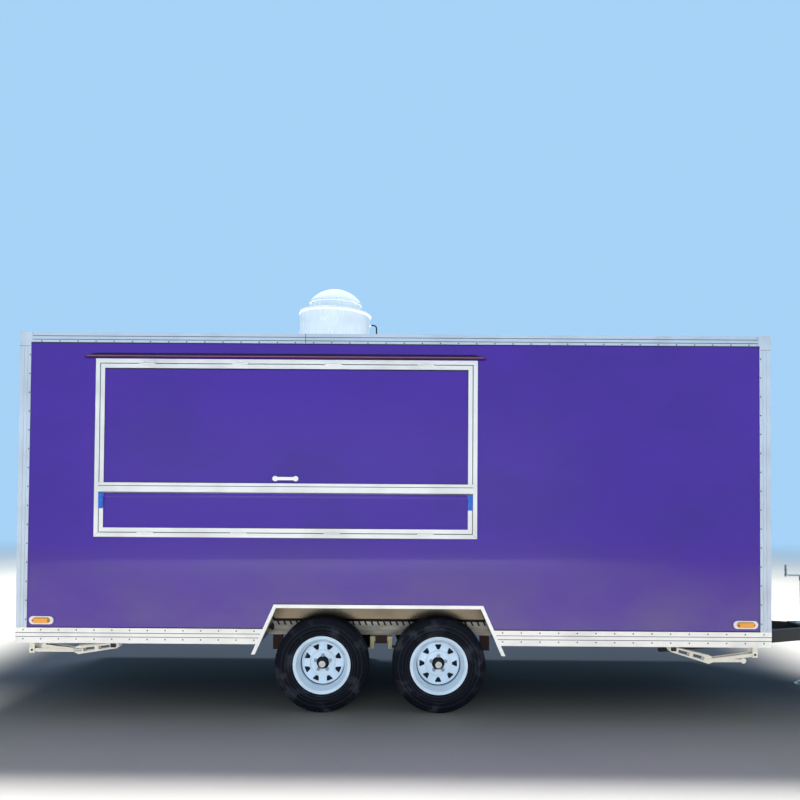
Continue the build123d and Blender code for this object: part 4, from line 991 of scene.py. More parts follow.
@dataclass
class Dressing:
    """Gives every node of the frame its finish.

    Attributes:
        groups: Each finish with its nodes, where a star stands for the four wheels' places.
    """

    groups: tuple[tuple[Finish, str], ...] = (
        (Palette.side_wall, "serving_wall far_wall"),
        (Palette.end_wall, "front_wall"),
        (Palette.rear_wall, "rear_wall"),
        (Palette.hatch_skin, "hatch_panel flap_panel"),
        (Palette.door_skin, "door_panel"),
        (Palette.roof, "roof_panel"),
        (Palette.trim_long, "window_frame flap_frame"),
        (Palette.trim_skirt, "skirt_rails"),
        (Palette.trim_bar, "hatch_frame"),
        (Palette.trim_top, "top_rails"),
        (Palette.trim_up, "corner_posts door_surround door_frame"),
        (Palette.trim_arch, "arch_trims"),
        (Palette.liner, "wheel_boxes"),
        (Palette.maroon, "drip_rail"),
        (Palette.white_grip, "hatch_handle"),
        (Palette.film, "flap_latches"),
        (Palette.floor, "floor_panel"),
        (Palette.zinc, "coupler tongue_jack jack_leg"),
        (Palette.links, "equalisers"),
        (Palette.mounts, "stabiliser_mounts"),
        (Palette.cream, "stabiliser_strut_* stabiliser_leg_*"),
        (Palette.chassis, "cross_members drawbar axles leaf_springs"),
        (Palette.rail, "main_rails"),
        (Palette.black_tube, "strut_cylinders"),
        (Palette.chrome, "strut_rods"),
        (Palette.lamp_base, "lamp_bases"),
        (Palette.amber, "marker_lenses"),
        (Palette.red, "tail_lenses"),
        (Palette.fan_sheet, "fan_housing fan_cowl"),
        (Palette.rubber, "fan_cable"),
        (Palette.tread, "tyre_*"),
        (Palette.rim, "rim_*"),
        (Palette.hub, "hub_*"),
    )

    def apply(self, nodes: dict[str, bpy.types.Object]) -> None:
        """Assign the finishes.

        Args:
            nodes: The frame's nodes by name.
        """
        plan = {
            name.replace("*", where): finish
            for finish, names in self.groups for name in names.split() for where in WHEELS
        }
        for name, piece in nodes.items():
            material = plan[name].make()
            if not piece.material_slots:
                piece.data.materials.append(material)
            for slot in piece.material_slots:
                slot.material = material


@dataclass
class RivetRows:
    """Dome-headed rivets along the aluminium strips.

    Attributes:
        pitch: Distance between rivets.
        head: Radius of a rivet's head.
        rise: Height of the head.
        lip: Height of the top rail's row above the rail's lower edge, and how far its lip stands out.
        inset: Distance of a post's row from the corner.
        short: How far a row stops short of the corner, along a skirt beside the arch and elsewhere.
        arch: How far a skirt's row runs in over the arch's trim.
        drops: Distance of the skirt's two rows from its upper edge.
        post_ends: How far a post's row starts above the skirt and stops below the post's top.
    """

    pitch: float = 0.134
    head: float = 0.0055
    rise: float = 0.0024
    lip: Span = (0.007, 0.003)
    inset: float = 0.068
    short: Span = (0.05, 0.15)
    arch: float = 0.02
    drops: Span = (0.016, 0.081)
    post_ends: Span = (0.06, 0.17)

    def dome(self, place: Vector, outward: Vector) -> bpy.types.Object:
        """Model one rivet head.

        Args:
            place: The middle of its foot.
            outward: The way that it points.

        Returns:
            The rivet head.
        """
        Shop.clear()
        bpy.ops.mesh.primitive_uv_sphere_add(segments=10, ring_count=6, radius=self.head)
        piece = bpy.context.object
        piece.scale = (1.0, 1.0, self.rise / self.head)
        piece.rotation_euler = outward.to_track_quat("Z", "Y").to_euler()
        piece.location = place
        return Shop.take("rivet")

    def row(self, start: Vector, end: Vector, outward: Vector) -> bpy.types.Object:
        """Model a row of rivets spread evenly between two points.

        Args:
            start: The first rivet.
            end: The last rivet.
            outward: The way that the heads point.

        Returns:
            The row as one mesh.
        """
        run = end - start
        count = max(2, round(run.length / self.pitch) + 1)
        return Shop.repeat(self.dome(start, outward), count, tuple(run / (count - 1)))

    def dress(self) -> None:
        """Rivet the top rails, the posts and the skirt on all four sides."""
        skirt, arch = corners("skirt_rails"), corners("arch_trims")
        thick = Vector((TRIM, TRIM, 0.0))
        low, high = skirt[0] + thick, skirt[1] - thick
        beside = (
            (low.x + self.short[0], arch[0].x + self.arch),
            (arch[1].x - self.arch, high.x - self.short[0]),
        )
        rows: list[bpy.types.Object] = []
        for side in Side:
            rows += self.wall(side, low, high, beside)
        for end in End:
            rows += self.wall(end, low, high, ((low.y + self.short[1], high.y - self.short[1]),))
        Shop.seat(Shop.join("trim_rivets", rows), "trailer", "trim_aluminium", Palette.rivet)

    def wall(
        self, way: Side | End, low: Vector, high: Vector, spans: tuple[Span, ...]
    ) -> list[bpy.types.Object]:
        """Rivet the top rail, the skirt and the posts of one wall.

        Args:
            way: The wall.
            low: The body's lowest corner.
            high: Its highest corner, at the height of the skirt's upper edge.
            spans: Where the skirt's rows start and stop.

        Returns:
            The rows.
        """
        run, depth = (0, 1) if isinstance(way, Side) else (1, 0)
        face = (low if way.value < 0 else high)[depth]
        outward = Vector((0.0, 0.0, 0.0))
        outward[depth] = way.value

        def line(first: Span, last: Span, stand: float) -> bpy.types.Object:
            """Rivet the wall between two points, each a distance along it and a height."""
            ends = [Vector((0.0, 0.0, height)) for _, height in (first, last)]
            for place, (along, _) in zip(ends, (first, last)):
                place[run], place[depth] = along, face + way.value * stand
            return self.row(*ends, outward)

        lip = corners("top_rails")[0].z + self.lip[0]
        post_top = corners("corner_posts")[1].z - self.post_ends[1]
        start, stop = low[run] + self.short[1], high[run] - self.short[1]
        rows = [line((start, lip), (stop, lip), self.lip[1])]
        for drop in self.drops:
            rows += [line((near, high.z - drop), (far, high.z - drop), TRIM) for near, far in spans]
        for along in (low[run] + self.inset, high[run] - self.inset):
            rows.append(line((along, high.z + self.post_ends[0]), (along, post_top), TRIM))
        return rows


@dataclass
class TyreMould:
    """One tyre with ribs, sipes, a rounded shoulder and a bare side wall.

    Attributes:
        radius: Outer radius.
        half: Half the section width.
        depth: Depth of a tread groove.
        segments: Blocks round the tread.
        shoulder: How far the tread's edge lies inside the section width.
        ribs: Edges of the tread's ribs, across the tyre.
        blocks: Inner and outer edge of the shoulder blocks, across the tyre.
        flutes: How far ribs and blocks narrow as they rise.
        profile: Radius of each ring of the side wall, and how far it stands out past half the section width.
    """

    radius: float = 0.346
    half: float = 0.1075
    depth: float = 0.007
    segments: int = 72
    shoulder: float = 0.015
    ribs: tuple[Span, ...] = ((-0.052, -0.021), (-0.014, 0.014), (0.021, 0.052))
    blocks: Span = (0.058, 0.088)
    flutes: Span = (0.0012, 0.0030)
    profile: tuple[Span, ...] = (
        (0.331, -0.010), (0.309, -0.0045), (0.284, -0.001), (0.268, 0.0), (0.266, 0.0012), (0.262, 0.0012),
        (0.260, -0.0006), (0.2345, -0.008), (0.2205, -0.014), (0.2145, -0.024), (0.2005, -0.036),
    )

    def model(self, name: str, centre: Vector) -> bpy.types.Object:
        """Shape the tyre from a cylinder.

        Args:
            name: The piece's name.
            centre: The middle of the wheel.

        Returns:
            The tyre.
        """
        floor = self.radius - self.depth
        Shop.clear()
        bpy.ops.mesh.primitive_cylinder_add(
            vertices=self.segments, radius=floor, depth=2 * (self.half - self.shoulder), end_fill_type="NGON",
            location=(0, 0, 0), rotation=(math.pi / 2, 0, 0),
        )
        piece = Shop.take(name)
        inner = self.blocks[0]
        cuts = sorted([-inner, inner, *(edge for rib in self.ribs for edge in rib)])

        def tread(middle: Vector, normal: Vector) -> bool:
            """Tell whether a face lies on the tread."""
            return abs(normal.y) < 0.3 and math.hypot(middle.x, middle.z) > floor - 0.004

        with Shop.editing(piece):
            for y in cuts:
                bpy.ops.mesh.select_all(action="SELECT")
                bpy.ops.mesh.bisect(plane_co=(0, y, 0), plane_no=(0, 1, 0))
            for sign in (-1, 1):
                self.shape_wall(sign, floor)
            Shop.pick(lambda c, n: tread(c, n) and any(a < c.y < b for a, b in self.ribs))
            bpy.ops.mesh.inset(thickness=self.flutes[0], depth=self.depth, use_individual=False)
            Shop.pick(lambda c, n: tread(c, n) and inner < abs(c.y) < self.blocks[1])
            bpy.ops.mesh.inset(thickness=self.flutes[1], depth=self.depth, use_individual=True)
        piece.location = centre
        Shop.choose(piece)
        return Shop.take(name)

    def shape_wall(self, sign: int, floor: float) -> None:
        """Draw one side wall from the tread down to the bead.

        Args:
            sign: Which end of the cylinder.
            floor: Radius of the groove floors.
        """
        Shop.pick(lambda c, n: n.y * sign > 0.9 and math.hypot(c.x, c.z) < 0.01)
        radius, stand = floor, -self.shoulder
        for next_radius, next_stand in self.profile:
            bpy.ops.mesh.inset(thickness=radius - next_radius, depth=0.0, use_even_offset=False)
            bpy.ops.transform.translate(value=(0, sign * (next_stand - stand), 0))
            radius, stand = next_radius, next_stand
        bpy.ops.mesh.delete(type="ONLY_FACE")


@dataclass
class Wheels:
    """Tyres, nuts and valves of the four wheels.

    Attributes:
        stud_circle: Radius of the stud circle.
        studs: Number of studs.
        nut: Radius of a nut over its corners.
        nut_height: Height of a nut.
        set_in: How far the disc lies inside the rim's outer edge.
        sink: How far a nut is sunk into the disc.
        valve_circle: Radius at which the valve's foot stands.
        valve_turn: Where the valve stands at rest, in degrees from +X as seen from outside.
        valve_depth: How far the valve's foot and its tip lie inside the rim's outer edge.
        valve_lean: The tip's distance from the axle as a multiple of the foot's.
        stem: Radius of the valve's stem.
        cap: Radius and length of the valve's cap.
        mould: The tyres' mould.
    """

    stud_circle: float = 0.057
    studs: int = 5
    nut: float = 0.0135
    nut_height: float = 0.0245
    set_in: float = 0.100
    sink: float = 0.001
    valve_circle: float = 0.160
    valve_turn: dict[str, float] = field(default_factory=lambda: {"rear": 128.0, "front": 98.0})
    valve_depth: Span = (0.098, 0.060)
    valve_lean: float = 1.12
    stem: float = 0.0062
    cap: Span = (0.0052, 0.009)
    mould: TyreMould = field(default_factory=TyreMould)

    def dress(self) -> None:
        """Replace the tyres and add nuts and valves to each wheel."""
        for end in ("rear", "front"):
            for side in Side:
                where = f"{end}_{side.name.lower()}"
                low, high = corners(f"tyre_{where}")
                centre = (low + high) / 2
                tyre = self.mould.model(f"tyre_tread_{where}", centre)
                Shop.seat(tyre, f"wheel_{where}", "tyre_rubber", Palette.tread)
                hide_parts(f"tyre_{where}")
                rim = corners(f"rim_{where}")
                edge = rim[1].y if side is Side.FAR else -rim[0].y
                self.nuts(where, side, centre, edge - self.set_in)
                self.valve(where, side, centre, edge)

    def nuts(self, where: str, side: Side, centre: Vector, disc: float) -> None:
        """Add the six-sided domed wheel nuts.

        Args:
            where: The wheel's place.
            side: Its side of the trailer.
            centre: The wheel's middle.
            disc: Distance of the disc's face from the trailer's middle.
        """
        parts = []
        for index in range(self.studs):
            angle = math.radians(90 + index * 360 / self.studs)
            x = centre.x + self.stud_circle * math.cos(angle)
            z = centre.z + self.stud_circle * math.sin(angle)
            start = (x, side.value * (disc - self.sink), z)
            end = (x, side.value * (disc + self.nut_height), z)
            nut = Shop.drum("nut", start, end, self.nut, sides=6)
            with Shop.editing(nut):
                Shop.pick(lambda c, n: n.y * side.value > 0.9)
                bpy.ops.mesh.inset(thickness=0.002, depth=0.0)
                bpy.ops.mesh.inset(thickness=0.004, depth=0.003)
            parts.append(Shop.bevel(nut, 0.0012, 2))
        Shop.seat(Shop.join(f"wheel_nuts_{where}", parts), f"wheel_{where}", "hub_steel", Palette.nut)

    def valve(self, where: str, side: Side, centre: Vector, edge: float) -> None:
        """Add the valve stem with its cap.

        Args:
            where: The wheel's place.
            side: Its side of the trailer.
            centre: The wheel's middle.
            edge: Distance of the rim's outer edge from the trailer's middle.
        """
        turn = math.radians(self.valve_turn[where.split("_")[0]])
        out = Vector((-side.value * math.cos(turn), 0.0, math.sin(turn))) * self.valve_circle
        foot, tip = centre + out, centre + out * self.valve_lean
        foot.y, tip.y = (side.value * (edge - depth) for depth in self.valve_depth)
        stem = Shop.bevel(Shop.drum("stem", foot, tip, self.stem, 12), 0.001)
        crown = (tip - foot).normalized() * self.cap[1]
        cap = Shop.bevel(Shop.drum("cap", tip, tip + crown, self.cap[0], 12), 0.0008)
        Shop.seat(Shop.join(f"valve_{where}", [stem, cap]), f"wheel_{where}", "tyre_rubber", Palette.rubber)


@dataclass
class HatchTrim:
    """Seals, mitre joints and rivets round the serving hatch and the shelf flap.

    Attributes:
        strip: Width of the outer frame strip.
        seal_width: Width of the seal.
        seal_depth: How far the seal's front and back lie behind the frame's face.
        bar: How far the bottom bar's rivets stand behind its face, and their height on it.
        bar_ends: How far the bar's rivets stop short of its ends.
        mitre: Radius of a mitre joint's line.
        mitre_ends: How far that line stops short of the strip's outer and its inner corner.
    """

    strip: float = 0.031
    seal_width: float = 0.0054
    seal_depth: Span = (0.004, 0.016)
    bar: Span = (0.004, 0.068)
    bar_ends: float = 0.08
    mitre: float = 0.0007
    mitre_ends: Span = (0.006, 0.001)

    def dress(self) -> None:
        """Add the seals, the joints and the bar's rivets."""
        low, high = corners("window_frame")
        face = -corners("skirt_rails")[1].y
        inward = Vector((self.strip, 0.0, self.strip))
        self.seal(low + inward, high - inward, face)
        self.bar_rivets()
        self.mitres(low, high, face)

    def seal(self, low: Vector, high: Vector, face: float) -> None:
        """Line the gap round both leaves with a soft seal set back from the face.

        Args:
            low: Lowest corner of the opening.
            high: Highest corner of the opening.
            face: The frame's outer face.
        """
        front, back = (face + depth for depth in self.seal_depth)
        wide = self.seal_width
        spans = (
            (low.x, low.x + wide, low.z, high.z),
            (high.x - wide, high.x, low.z, high.z),
            (low.x, high.x, high.z - wide, high.z),
            (low.x, high.x, low.z, low.z + wide),
        )
        parts = []
        for left, right, foot, top in spans:
            parts.append(Shop.bevel(Shop.box("seal", (left, front, foot), (right, back, top)), 0.0015))
        Shop.seat(Shop.join("opening_seal", parts), "trailer", "cable_black", Palette.seal)

    def bar_rivets(self) -> None:
        """Rivet the upper edge of the hatch's bottom bar."""
        low, high = corners("hatch_frame")
        rivets = RivetRows(pitch=0.125, head=0.005, rise=0.003)
        start = Vector((low.x + self.bar_ends, low.y + self.bar[0], low.z + self.bar[1]))
        row = rivets.row(start, Vector((high.x - self.bar_ends, start.y, start.z)), Vector((0, 0, 1)))
        Shop.seat(Shop.join("bar_rivets", [row]), "hatch", "trim_aluminium", Palette.rivet)

    def mitres(self, low: Vector, high: Vector, face: float) -> None:
        """Mark the mitred corners of the fixed frame with thin joints.

        Args:
            low: Lowest corner of the frame.
            high: Highest corner of the frame.
            face: The frame's outer face.
        """
        parts = []
        for x, way_x in ((low.x, 1), (high.x, -1)):
            for z, way_z in ((low.z, 1), (high.z, -1)):
                reaches = (self.mitre_ends[0], self.strip - self.mitre_ends[1])
                start, end = ((x + way_x * reach, face, z + way_z * reach) for reach in reaches)
                parts.append(Shop.drum("mitre", start, end, self.mitre, 8))
        Shop.seat(Shop.join("frame_mitres", parts), "trailer", "trim_aluminium", Palette.joint)


@dataclass
class SealantAndShadowLines:
    """Dark beads along the borders of the coloured sheets, partly sealing compound and partly painted shadow
    lines beside the trim, and the joints of the edge rails.

    Attributes:
        radius: Radius of a bead, which is sunk to half its depth.
        clear: Distance of a bead's middle from the strip beside it, as a share of its radius.
        joint: Radius of a joint line between two rails.
        post: Width of a corner post.
        cap: Length of a corner cap along the rails, and its depth down the post.
        skew: How far a cap's edge leans over the rail's height.
        butt: X of the butt joint in the serving side's top rail.
        arch_slant: Run of the wheel arch's slanted edges for each metre of their height.
        flap_face: Y of the outer face of the flap's upper sheet.
        overlap: How far that sheet laps over its neighbours.
    """

    radius: float = 0.0042
    clear: float = 0.6
    joint: float = 0.0022
    post: float = 0.075
    cap: Span = (0.093, 0.103)
    skew: float = 0.006
    butt: float = -1.243
    arch_slant: float = 0.4463
    flap_face: float = -1.0574
    overlap: float = 0.001

    def dress(self) -> None:
        """Lay the beads on the walls, the leaves and the joints."""
        self.walls()
        self.leaf("hatch_panel", "hatch", corners("hatch_panel")[1].z)
        self.leaf("flap_panel", "shelf_flap", corners("flap_frame")[1].z)
        self.flap_sheet()
        self.rail_joints()

    @staticmethod
    def bead(points: list[Point], radius: float) -> list[bpy.types.Object]:
        """Lay one bead along a line of points.

        Args:
            points: The bead's corners.
            radius: Its radius.

        Returns:
            Its straight runs.
        """
        runs = []
        for start, end in zip(points, points[1:]):
            runs.append(Shop.bevel(Shop.drum("bead", start, end, radius, 8), radius * 0.3, 1))
        return runs

    def walls(self) -> None:
        """Lay the beads beside rails, posts and skirt, and round the arch and the opening."""
        rails, arch, frame = corners("skirt_rails"), corners("arch_trims"), corners("window_frame")
        gap = self.clear * self.radius
        foot, skirt = corners("top_rails")[0].z - gap, rails[1].z + gap
        left, right = rails[0].x + self.post + gap, rails[1].x - self.post - gap
        peak, middle = arch[1].z, (arch[0].x + arch[1].x) / 2
        top = (arch[1].x - arch[0].x) / 2 - (peak - arch[0].z) * self.arch_slant
        base = top + (peak - skirt) * self.arch_slant
        near, far = corners("serving_wall")[0].y, corners("far_wall")[1].y
        outlines = (
            ((left, foot), (right, foot)),
            ((left, foot), (left, skirt)),
            ((right, foot), (right, skirt)),
            ((left, skirt), (middle - base, skirt), (middle - top, peak),
             (middle + top, peak), (middle + base, skirt), (right, skirt)),
        )
        runs: list[bpy.types.Object] = []
        # The beads are sealing compound and painted shadow lines beside rails, posts, skirt, arch and
        # opening.
        for y in (near, far):
            for outline in outlines:
                runs += self.bead([(x, y, z) for x, z in outline], self.radius)
        head = corners("drip_rail")[0].z
        opening = ((frame[0].x, head), (frame[0].x, frame[0].z), (frame[1].x, frame[0].z), (frame[1].x, head))
        runs += self.bead([(x, near, z) for x, z in opening], self.radius)
        near, far = near - TRIM + self.post + gap, far + TRIM - self.post - gap
        border = ((near, foot), (far, foot), (far, skirt), (near, skirt), (near, foot))
        for x in (corners("rear_wall")[0].x, corners("front_wall")[1].x):
            runs += self.bead([(x, y, z) for y, z in border], self.radius)
        Shop.seat(Shop.join("panel_sealant", runs), "trailer", "cable_black", Palette.sealant)

    def leaf(self, node: str, body: str, top: float) -> None:
        """Lay the bead round one leaf's sheet.

        Args:
            node: The sheet's node.
            body: The body that it moves with.
            top: Height of the sheet's upper edge.
        """
        low, high = corners(node)
        head = top - self.radius
        border = ((low.x, low.z), (high.x, low.z), (high.x, head), (low.x, head), (low.x, low.z))
        runs = self.bead([(x, low.y, z) for x, z in border], self.radius)
        Shop.seat(Shop.join(f"{body}_sealant", runs), body, "cable_black", Palette.sealant)

    def flap_sheet(self) -> None:
        """Run the flap's sheet up over its frame's upper member."""
        low, high = corners("flap_panel")
        lap = self.overlap
        start = (low.x + lap, self.flap_face, high.z - lap)
        end = (high.x - lap, low.y + lap, corners("flap_frame")[1].z - lap)
        sheet = Shop.bevel(Shop.box("flap_upper_sheet", start, end), 0.0006)
        Shop.seat(sheet, "shelf_flap", "purple_panel", Palette.hatch_skin)

    def rail_joints(self) -> None:
        """Draw the butt joint and the edges of the four corner caps."""
        low, high = corners("top_rails")
        foot, top = low.z + 0.002, high.z - 0.002
        drop = corners("corner_posts")[1].z - self.cap[1]
        edge, down = self.cap[0] - 0.002, self.post
        lines: list[list[Point]] = [[(self.butt, low.y, foot), (self.butt, low.y, top)]]
        for x, way_x in ((low.x, 1), (high.x, -1)):
            for y, way_y in ((low.y, 1), (high.y, -1)):
                lines += [
                    [(x + way_x * (edge - self.skew), y, foot), (x + way_x * edge, y, top)],
                    [(x, y + way_y * (edge - self.skew), foot), (x, y + way_y * edge, top)],
                    [(x + way_x * down, y, drop), (x, y, drop), (x, y + way_y * down, drop)],
                ]
        runs = [run for line in lines for run in self.bead(line, self.joint)]
        Shop.seat(Shop.join("rail_joints", runs), "trailer", "cable_black", Palette.joint)


@dataclass
class TrunnionCaps:
    """Bright pressed caps over the pins of the rear stabilisers.

    Attributes:
        half: Half the cap's length and half its height.
        shift: Distance of its middle from the strut's front end, and its height over the strut's middle.
        sink: How far it is sunk into the strut.
        rise: How far it stands off the strut.
    """

    half: Span = (0.030, 0.0105)
    shift: Span = (0.011, 0.003)
    sink: float = 0.0005
    rise: float = 0.005

    def dress(self) -> None:
        """Cap the outer pin end of each rear strut."""
        for side in Side:
            where = f"rear_{side.name.lower()}"
            low, high = corners(f"stabiliser_strut_{where}")
            x, z = high.x - self.shift[0], (low.z + high.z) / 2 + self.shift[1]
            face = low.y if side is Side.SERVING else high.y
            start = (x - self.half[0], face - side.value * self.sink, z - self.half[1])
            end = (x + self.half[0], face + side.value * self.rise, z + self.half[1])
            cap = Shop.bevel(Shop.box(f"trunnion_cap_{where}", start, end), 0.0035, 3)
            Shop.seat(cap, f"stabiliser_strut_{where}", "coupler_zinc", Palette.bright_zinc)


@dataclass
class LampScrews:
    """Two screws on each oval lamp.

    Attributes:
        half: Half the length of a lens.
        reach: Distance of a screw from the lamp's middle.
        head: Radius of a screw head.
        stand: How far a screw is sunk into the lens, and how far it stands out.
    """

    half: float = 0.066
    reach: float = 0.056
    head: float = 0.0050
    stand: Span = (0.001, 0.002)

    def dress(self) -> None:
        """Add the screws to the six lamps."""
        low, high = corners("marker_lenses")
        tail_low, tail_high = corners("tail_lenses")
        sink, rise = self.stand
        parts = []
        for side in Side:
            for shift in (-self.reach, self.reach):
                for middle in (low.x + self.half, high.x - self.half):
                    foot = Vector((middle + shift, side.value * (high.y - sink), (low.z + high.z) / 2))
                    parts.append(self.screw(foot, Vector((0.0, side.value * (sink + rise), 0.0))))
                y = side.value * (tail_high.y - self.half) + shift
                foot = Vector((tail_low.x + sink, y, (tail_low.z + tail_high.z) / 2))
                parts.append(self.screw(foot, Vector((-sink - rise, 0.0, 0.0))))
        Shop.seat(Shop.join("lamp_screws", parts), "trailer", "coupler_zinc", Palette.joint)

    def screw(self, foot: Vector, run: Vector) -> bpy.types.Object:
        """Model one screw head from its foot outwards."""
        return Shop.bevel(Shop.drum("screw", foot, foot + run, self.head, 12), 0.0008)


@dataclass
class FanDetails:
    """Seams, dimple and screws of the roof fan.

    Attributes:
        lean: Lean of the fan's axis to the tow end, in degrees.
        drum: Radius of the drum.
        seams: Radius, angle in degrees, and lower and upper end of each seam.
        seam: Radius of a seam, and how far it stands off the sheet.
        dimple: Angle in degrees and height of the dimple, and its larger and smaller radius.
        screws: Number of flange screws.
        circle: Radius of their circle.
        screw: Radius of a screw head.
        flange: Height of the flange, and of a screw head.
    """

    lean: float = 2.4
    drum: float = 0.3045
    seams: tuple[tuple[float, float, float, float], ...] = (
        (0.3045, 212.0, 0.012, 0.365), (0.3045, 40.0, 0.012, 0.365), (0.218, 276.0, 0.400, 0.472),
    )
    seam: Span = (0.0035, 0.0005)
    dimple: tuple[float, float, float, float] = (255.0, 0.29, 0.017, 0.003)
    screws: int = 12
    circle: float = 0.322
    screw: float = 0.005
    flange: Span = (0.010, 0.0045)

    def dress(self) -> None:
        """Add the seams of drum and neck, the dimple and the flange screws."""
        low, high = corners("fan_housing")
        foot = Vector(((low.x + high.x) / 2, 0.0, low.z))
        turn = Matrix.Translation(foot) @ Matrix.Rotation(math.radians(self.lean), 4, "Y")
        parts = []
        for radius, angle, *heights in self.seams:
            sheet = self.way(math.radians(angle)) * (radius + self.seam[1])
            start, end = (turn @ (sheet + Vector((0.0, 0.0, height))) for height in heights)
            parts.append(Shop.drum("seam", start, end, self.seam[0], 8))
        parts.append(self.ring(turn))
        for index in range(self.screws):
            place = foot + self.way(math.tau * (index + 0.5) / self.screws) * self.circle
            place.z += self.flange[0]
            head = Shop.drum("screw", place, place + Vector((0.0, 0.0, self.flange[1])), self.screw, 8)
            parts.append(Shop.bevel(head, 0.001))
        Shop.seat(Shop.join("fan_seams", parts), "trailer", "fan_aluminium", Palette.fan_sheet)

    @staticmethod
    def way(angle: float) -> Vector:
        """Level direction at an angle from +X."""
        return Vector((math.cos(angle), math.sin(angle), 0.0))

    def ring(self, turn: Matrix) -> bpy.types.Object:
        """Add the pressed ring on the front of the drum.

        Args:
            turn: The fan's place and lean.

        Returns:
            The ring.
        """
        Shop.clear()
        angle, height, major, minor = self.dimple
        way = self.way(math.radians(angle))
        bpy.ops.mesh.primitive_torus_add(
            major_radius=major, minor_radius=minor, major_segments=20, minor_segments=6,
            location=turn @ (way * self.drum + Vector((0.0, 0.0, height))),
            rotation=way.to_track_quat("Z", "Y").to_euler(),
        )
        return Shop.take("dimple")


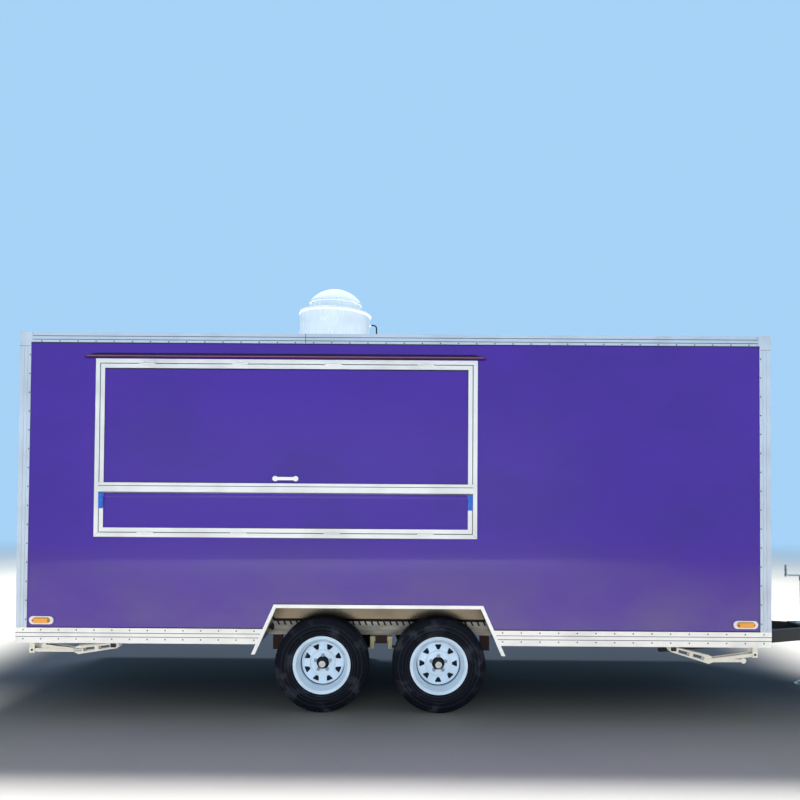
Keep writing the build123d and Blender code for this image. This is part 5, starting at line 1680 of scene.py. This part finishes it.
@dataclass
class Studio:
    """Plain pale floor with a painted shadow patch round and under the trailer, fading into a plain
    background, under soft light.

    Attributes:
        floor: Colour of the floor.
        shade: Colour of its painted shadow patch.
        sky: Colour of the background.
        fill: Colour of the even light.
        fill_strength: Strength of the even light.
        reach: Half the floor's width.
        fade: Distances from the trailer between which the floor fades.
        shaded: Where the patch starts, is full, ebbs and ends, across the floor.
        shaded_middle: X of the patch's middle.
        shaded_half: Half the patch's length where it is full and where it has ended.
        lamps: Name, place, target, width and height, and power in watts of each lamp.
    """

    floor: Colour = (0.80, 0.78, 0.72)
    shade: Colour = (0.022, 0.026, 0.034)
    sky: Colour = (0.38, 0.65, 0.93)
    fill: Colour = (0.80, 0.87, 1.0)
    fill_strength: float = 0.15
    reach: float = 150.0
    fade: Span = (7.5, 26.0)
    shaded: tuple[float, float, float, float] = (-2.7, 0.1, 4.4, 6.6)
    shaded_middle: float = -0.6
    shaded_half: Span = (3.3, 5.0)
    lamps: tuple[tuple[str, Point, Point, Span, float], ...] = (
        ("sun_soft", (-1.5, 4.6, 13.0), (-0.5, -0.5, 0.6), (3.0, 2.4), 5000.0),
        ("front_fill", (-2.0, -15.0, 2.2), (-0.5, 0.0, 1.3), (12.0, 3.0), 1340.0),
        ("side_fill", (12.0, -6.0, 5.0), (0.5, 0.0, 1.2), (6.0, 5.0), 160.0),
    )

    def build(self) -> None:
        """Lay the floor, set the world and hang the lamps."""
        ground = Shop.box("floor", (-self.reach, -self.reach, -0.3), (self.reach, self.reach, -0.001))
        ground.data.materials.append(self.ground())
        self.world()
        for lamp in self.lamps:
            self.hang(*lamp)

    def ground(self) -> bpy.types.Material:
        """Make the floor's material, with its painted shadow patch, which turns into the background's colour
        far away.

        Returns:
            The material.
        """
        bench = Bench("floor_plain")
        cloud = bench.noise(0.6)
        x, y = bench.coordinate(Axis.X), bench.coordinate(Axis.Y)
        # Painted shadow: a soft-edged dark patch on the floor round and under the trailer.
        start, full, ebb, end = self.shaded
        across = y.ramp(start, full) * (1.0 - y.ramp(ebb, end))
        along = 1.0 - (x - self.shaded_middle).math("ABSOLUTE").ramp(*self.shaded_half)
        plain = bench.mottle(cloud.ramp(0.3, 0.7), self.floor, 0.94)
        bench.surface(bench.mix(across * along, plain, self.shade), cloud * 0.1 + 0.8)
        fade = (x * x + y * y).math("SQRT").ramp(*self.fade)
        glow = bench.node("ShaderNodeEmission", None, {"Color": self.sky, "Strength": 1.0})
        sockets = {0: fade, 1: bench.shader.outputs[0], 2: glow.outputs[0]}
        blend = bench.node("ShaderNodeMixShader", None, sockets)
        bench.wire(bench.output.inputs["Surface"], blend.outputs[0])
        return bench.material

    def world(self) -> None:
        """Light the scene evenly and show a pale background."""
        world = bpy.data.worlds.new("pale_room")
        bpy.context.scene.world = world
        world.use_nodes = True
        nodes = Nodes(world.node_tree)
        light = nodes.node("ShaderNodeBackground", None, {"Color": self.fill, "Strength": self.fill_strength})
        shown = nodes.node("ShaderNodeBackground", None, {"Color": self.sky, "Strength": 1.0})
        rays = nodes.node("ShaderNodeLightPath").outputs
        sockets = {0: rays["Is Camera Ray"], 1: rays["Is Glossy Ray"]}
        seen = nodes.node("ShaderNodeMath", {"operation": "MAXIMUM"}, sockets)
        sockets = {0: seen.outputs[0], 1: light.outputs[0], 2: shown.outputs[0]}
        blend = nodes.node("ShaderNodeMixShader", None, sockets)
        nodes.node("ShaderNodeOutputWorld", None, {"Surface": blend.outputs[0]})

    @staticmethod
    def hang(name: str, place: Point, target: Point, size: Span, power: float) -> None:
        """Hang one soft lamp.

        Args:
            name: The lamp's name.
            place: Where it hangs.
            target: What it points at.
            size: Its width and height.
            power: Its power in watts.
        """
        Shop.clear()
        bpy.ops.object.light_add(type="AREA", location=place)
        lamp = bpy.context.object
        lamp.name = name
        lamp.data.shape = "RECTANGLE"
        lamp.data.size, lamp.data.size_y = size
        lamp.data.energy = power
        lamp.visible_glossy = False
        lamp.rotation_euler = (Vector(target) - Vector(place)).to_track_quat("-Z", "Y").to_euler()


@dataclass
class Viewpoint:
    """The camera that stands where the photograph was taken.

    Attributes:
        place: Where it stands.
        yaw: Turn to the right of +Y, in degrees.
        pitch: Tilt upwards, in degrees.
        roll: Turn about its own axis, in degrees.
        focal: Focal length in pixels of the picture.
        rise: Vertical shift as a share of the picture.
        picture: The picture's width in pixels.
        sensor: The sensor's width in millimetres.
    """

    place: Point = (-0.534, -6.771, 1.60)
    yaw: float = 0.091
    pitch: float = 1.305
    roll: float = -0.378
    focal: float = 781.0
    rise: float = 0.0972
    picture: float = 800.0
    sensor: float = 36.0

    def build(self) -> None:
        """Set up the camera."""
        Shop.clear()
        bpy.ops.object.camera_add(location=self.place)
        camera = bpy.context.object
        camera.name = "viewpoint"
        stand = Matrix.Identity(3)
        for angle, axis in ((self.yaw, "Z"), (self.pitch, "X"), (self.roll, "Y"), (90.0, "X")):
            stand = stand @ Matrix.Rotation(math.radians(angle), 3, axis)
        camera.rotation_euler = stand.to_euler()
        camera.data.sensor_width = self.sensor
        camera.data.lens = self.focal * self.sensor / self.picture
        camera.data.shift_y = self.rise
        bpy.context.scene.camera = camera


def main() -> None:
    """Build the dressed trailer piece by piece."""
    logging.basicConfig(level=logging.INFO, format="%(message)s")
    bpy.ops.wm.read_factory_settings(use_empty=True)
    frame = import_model()
    bpy.context.scene.view_settings.view_transform = "Standard"
    Dressing().apply(frame["nodes"])
    LOG.info("finishes: %d nodes", len(frame["nodes"]))
    for maker in (RivetRows(), Wheels(), HatchTrim(), SealantAndShadowLines(), TrunnionCaps(), LampScrews(), FanDetails()):
        maker.dress()
        LOG.info("dressed: %s", type(maker).__name__)
    Studio().build()
    Viewpoint().build()


if __name__ == "__main__":
    main()
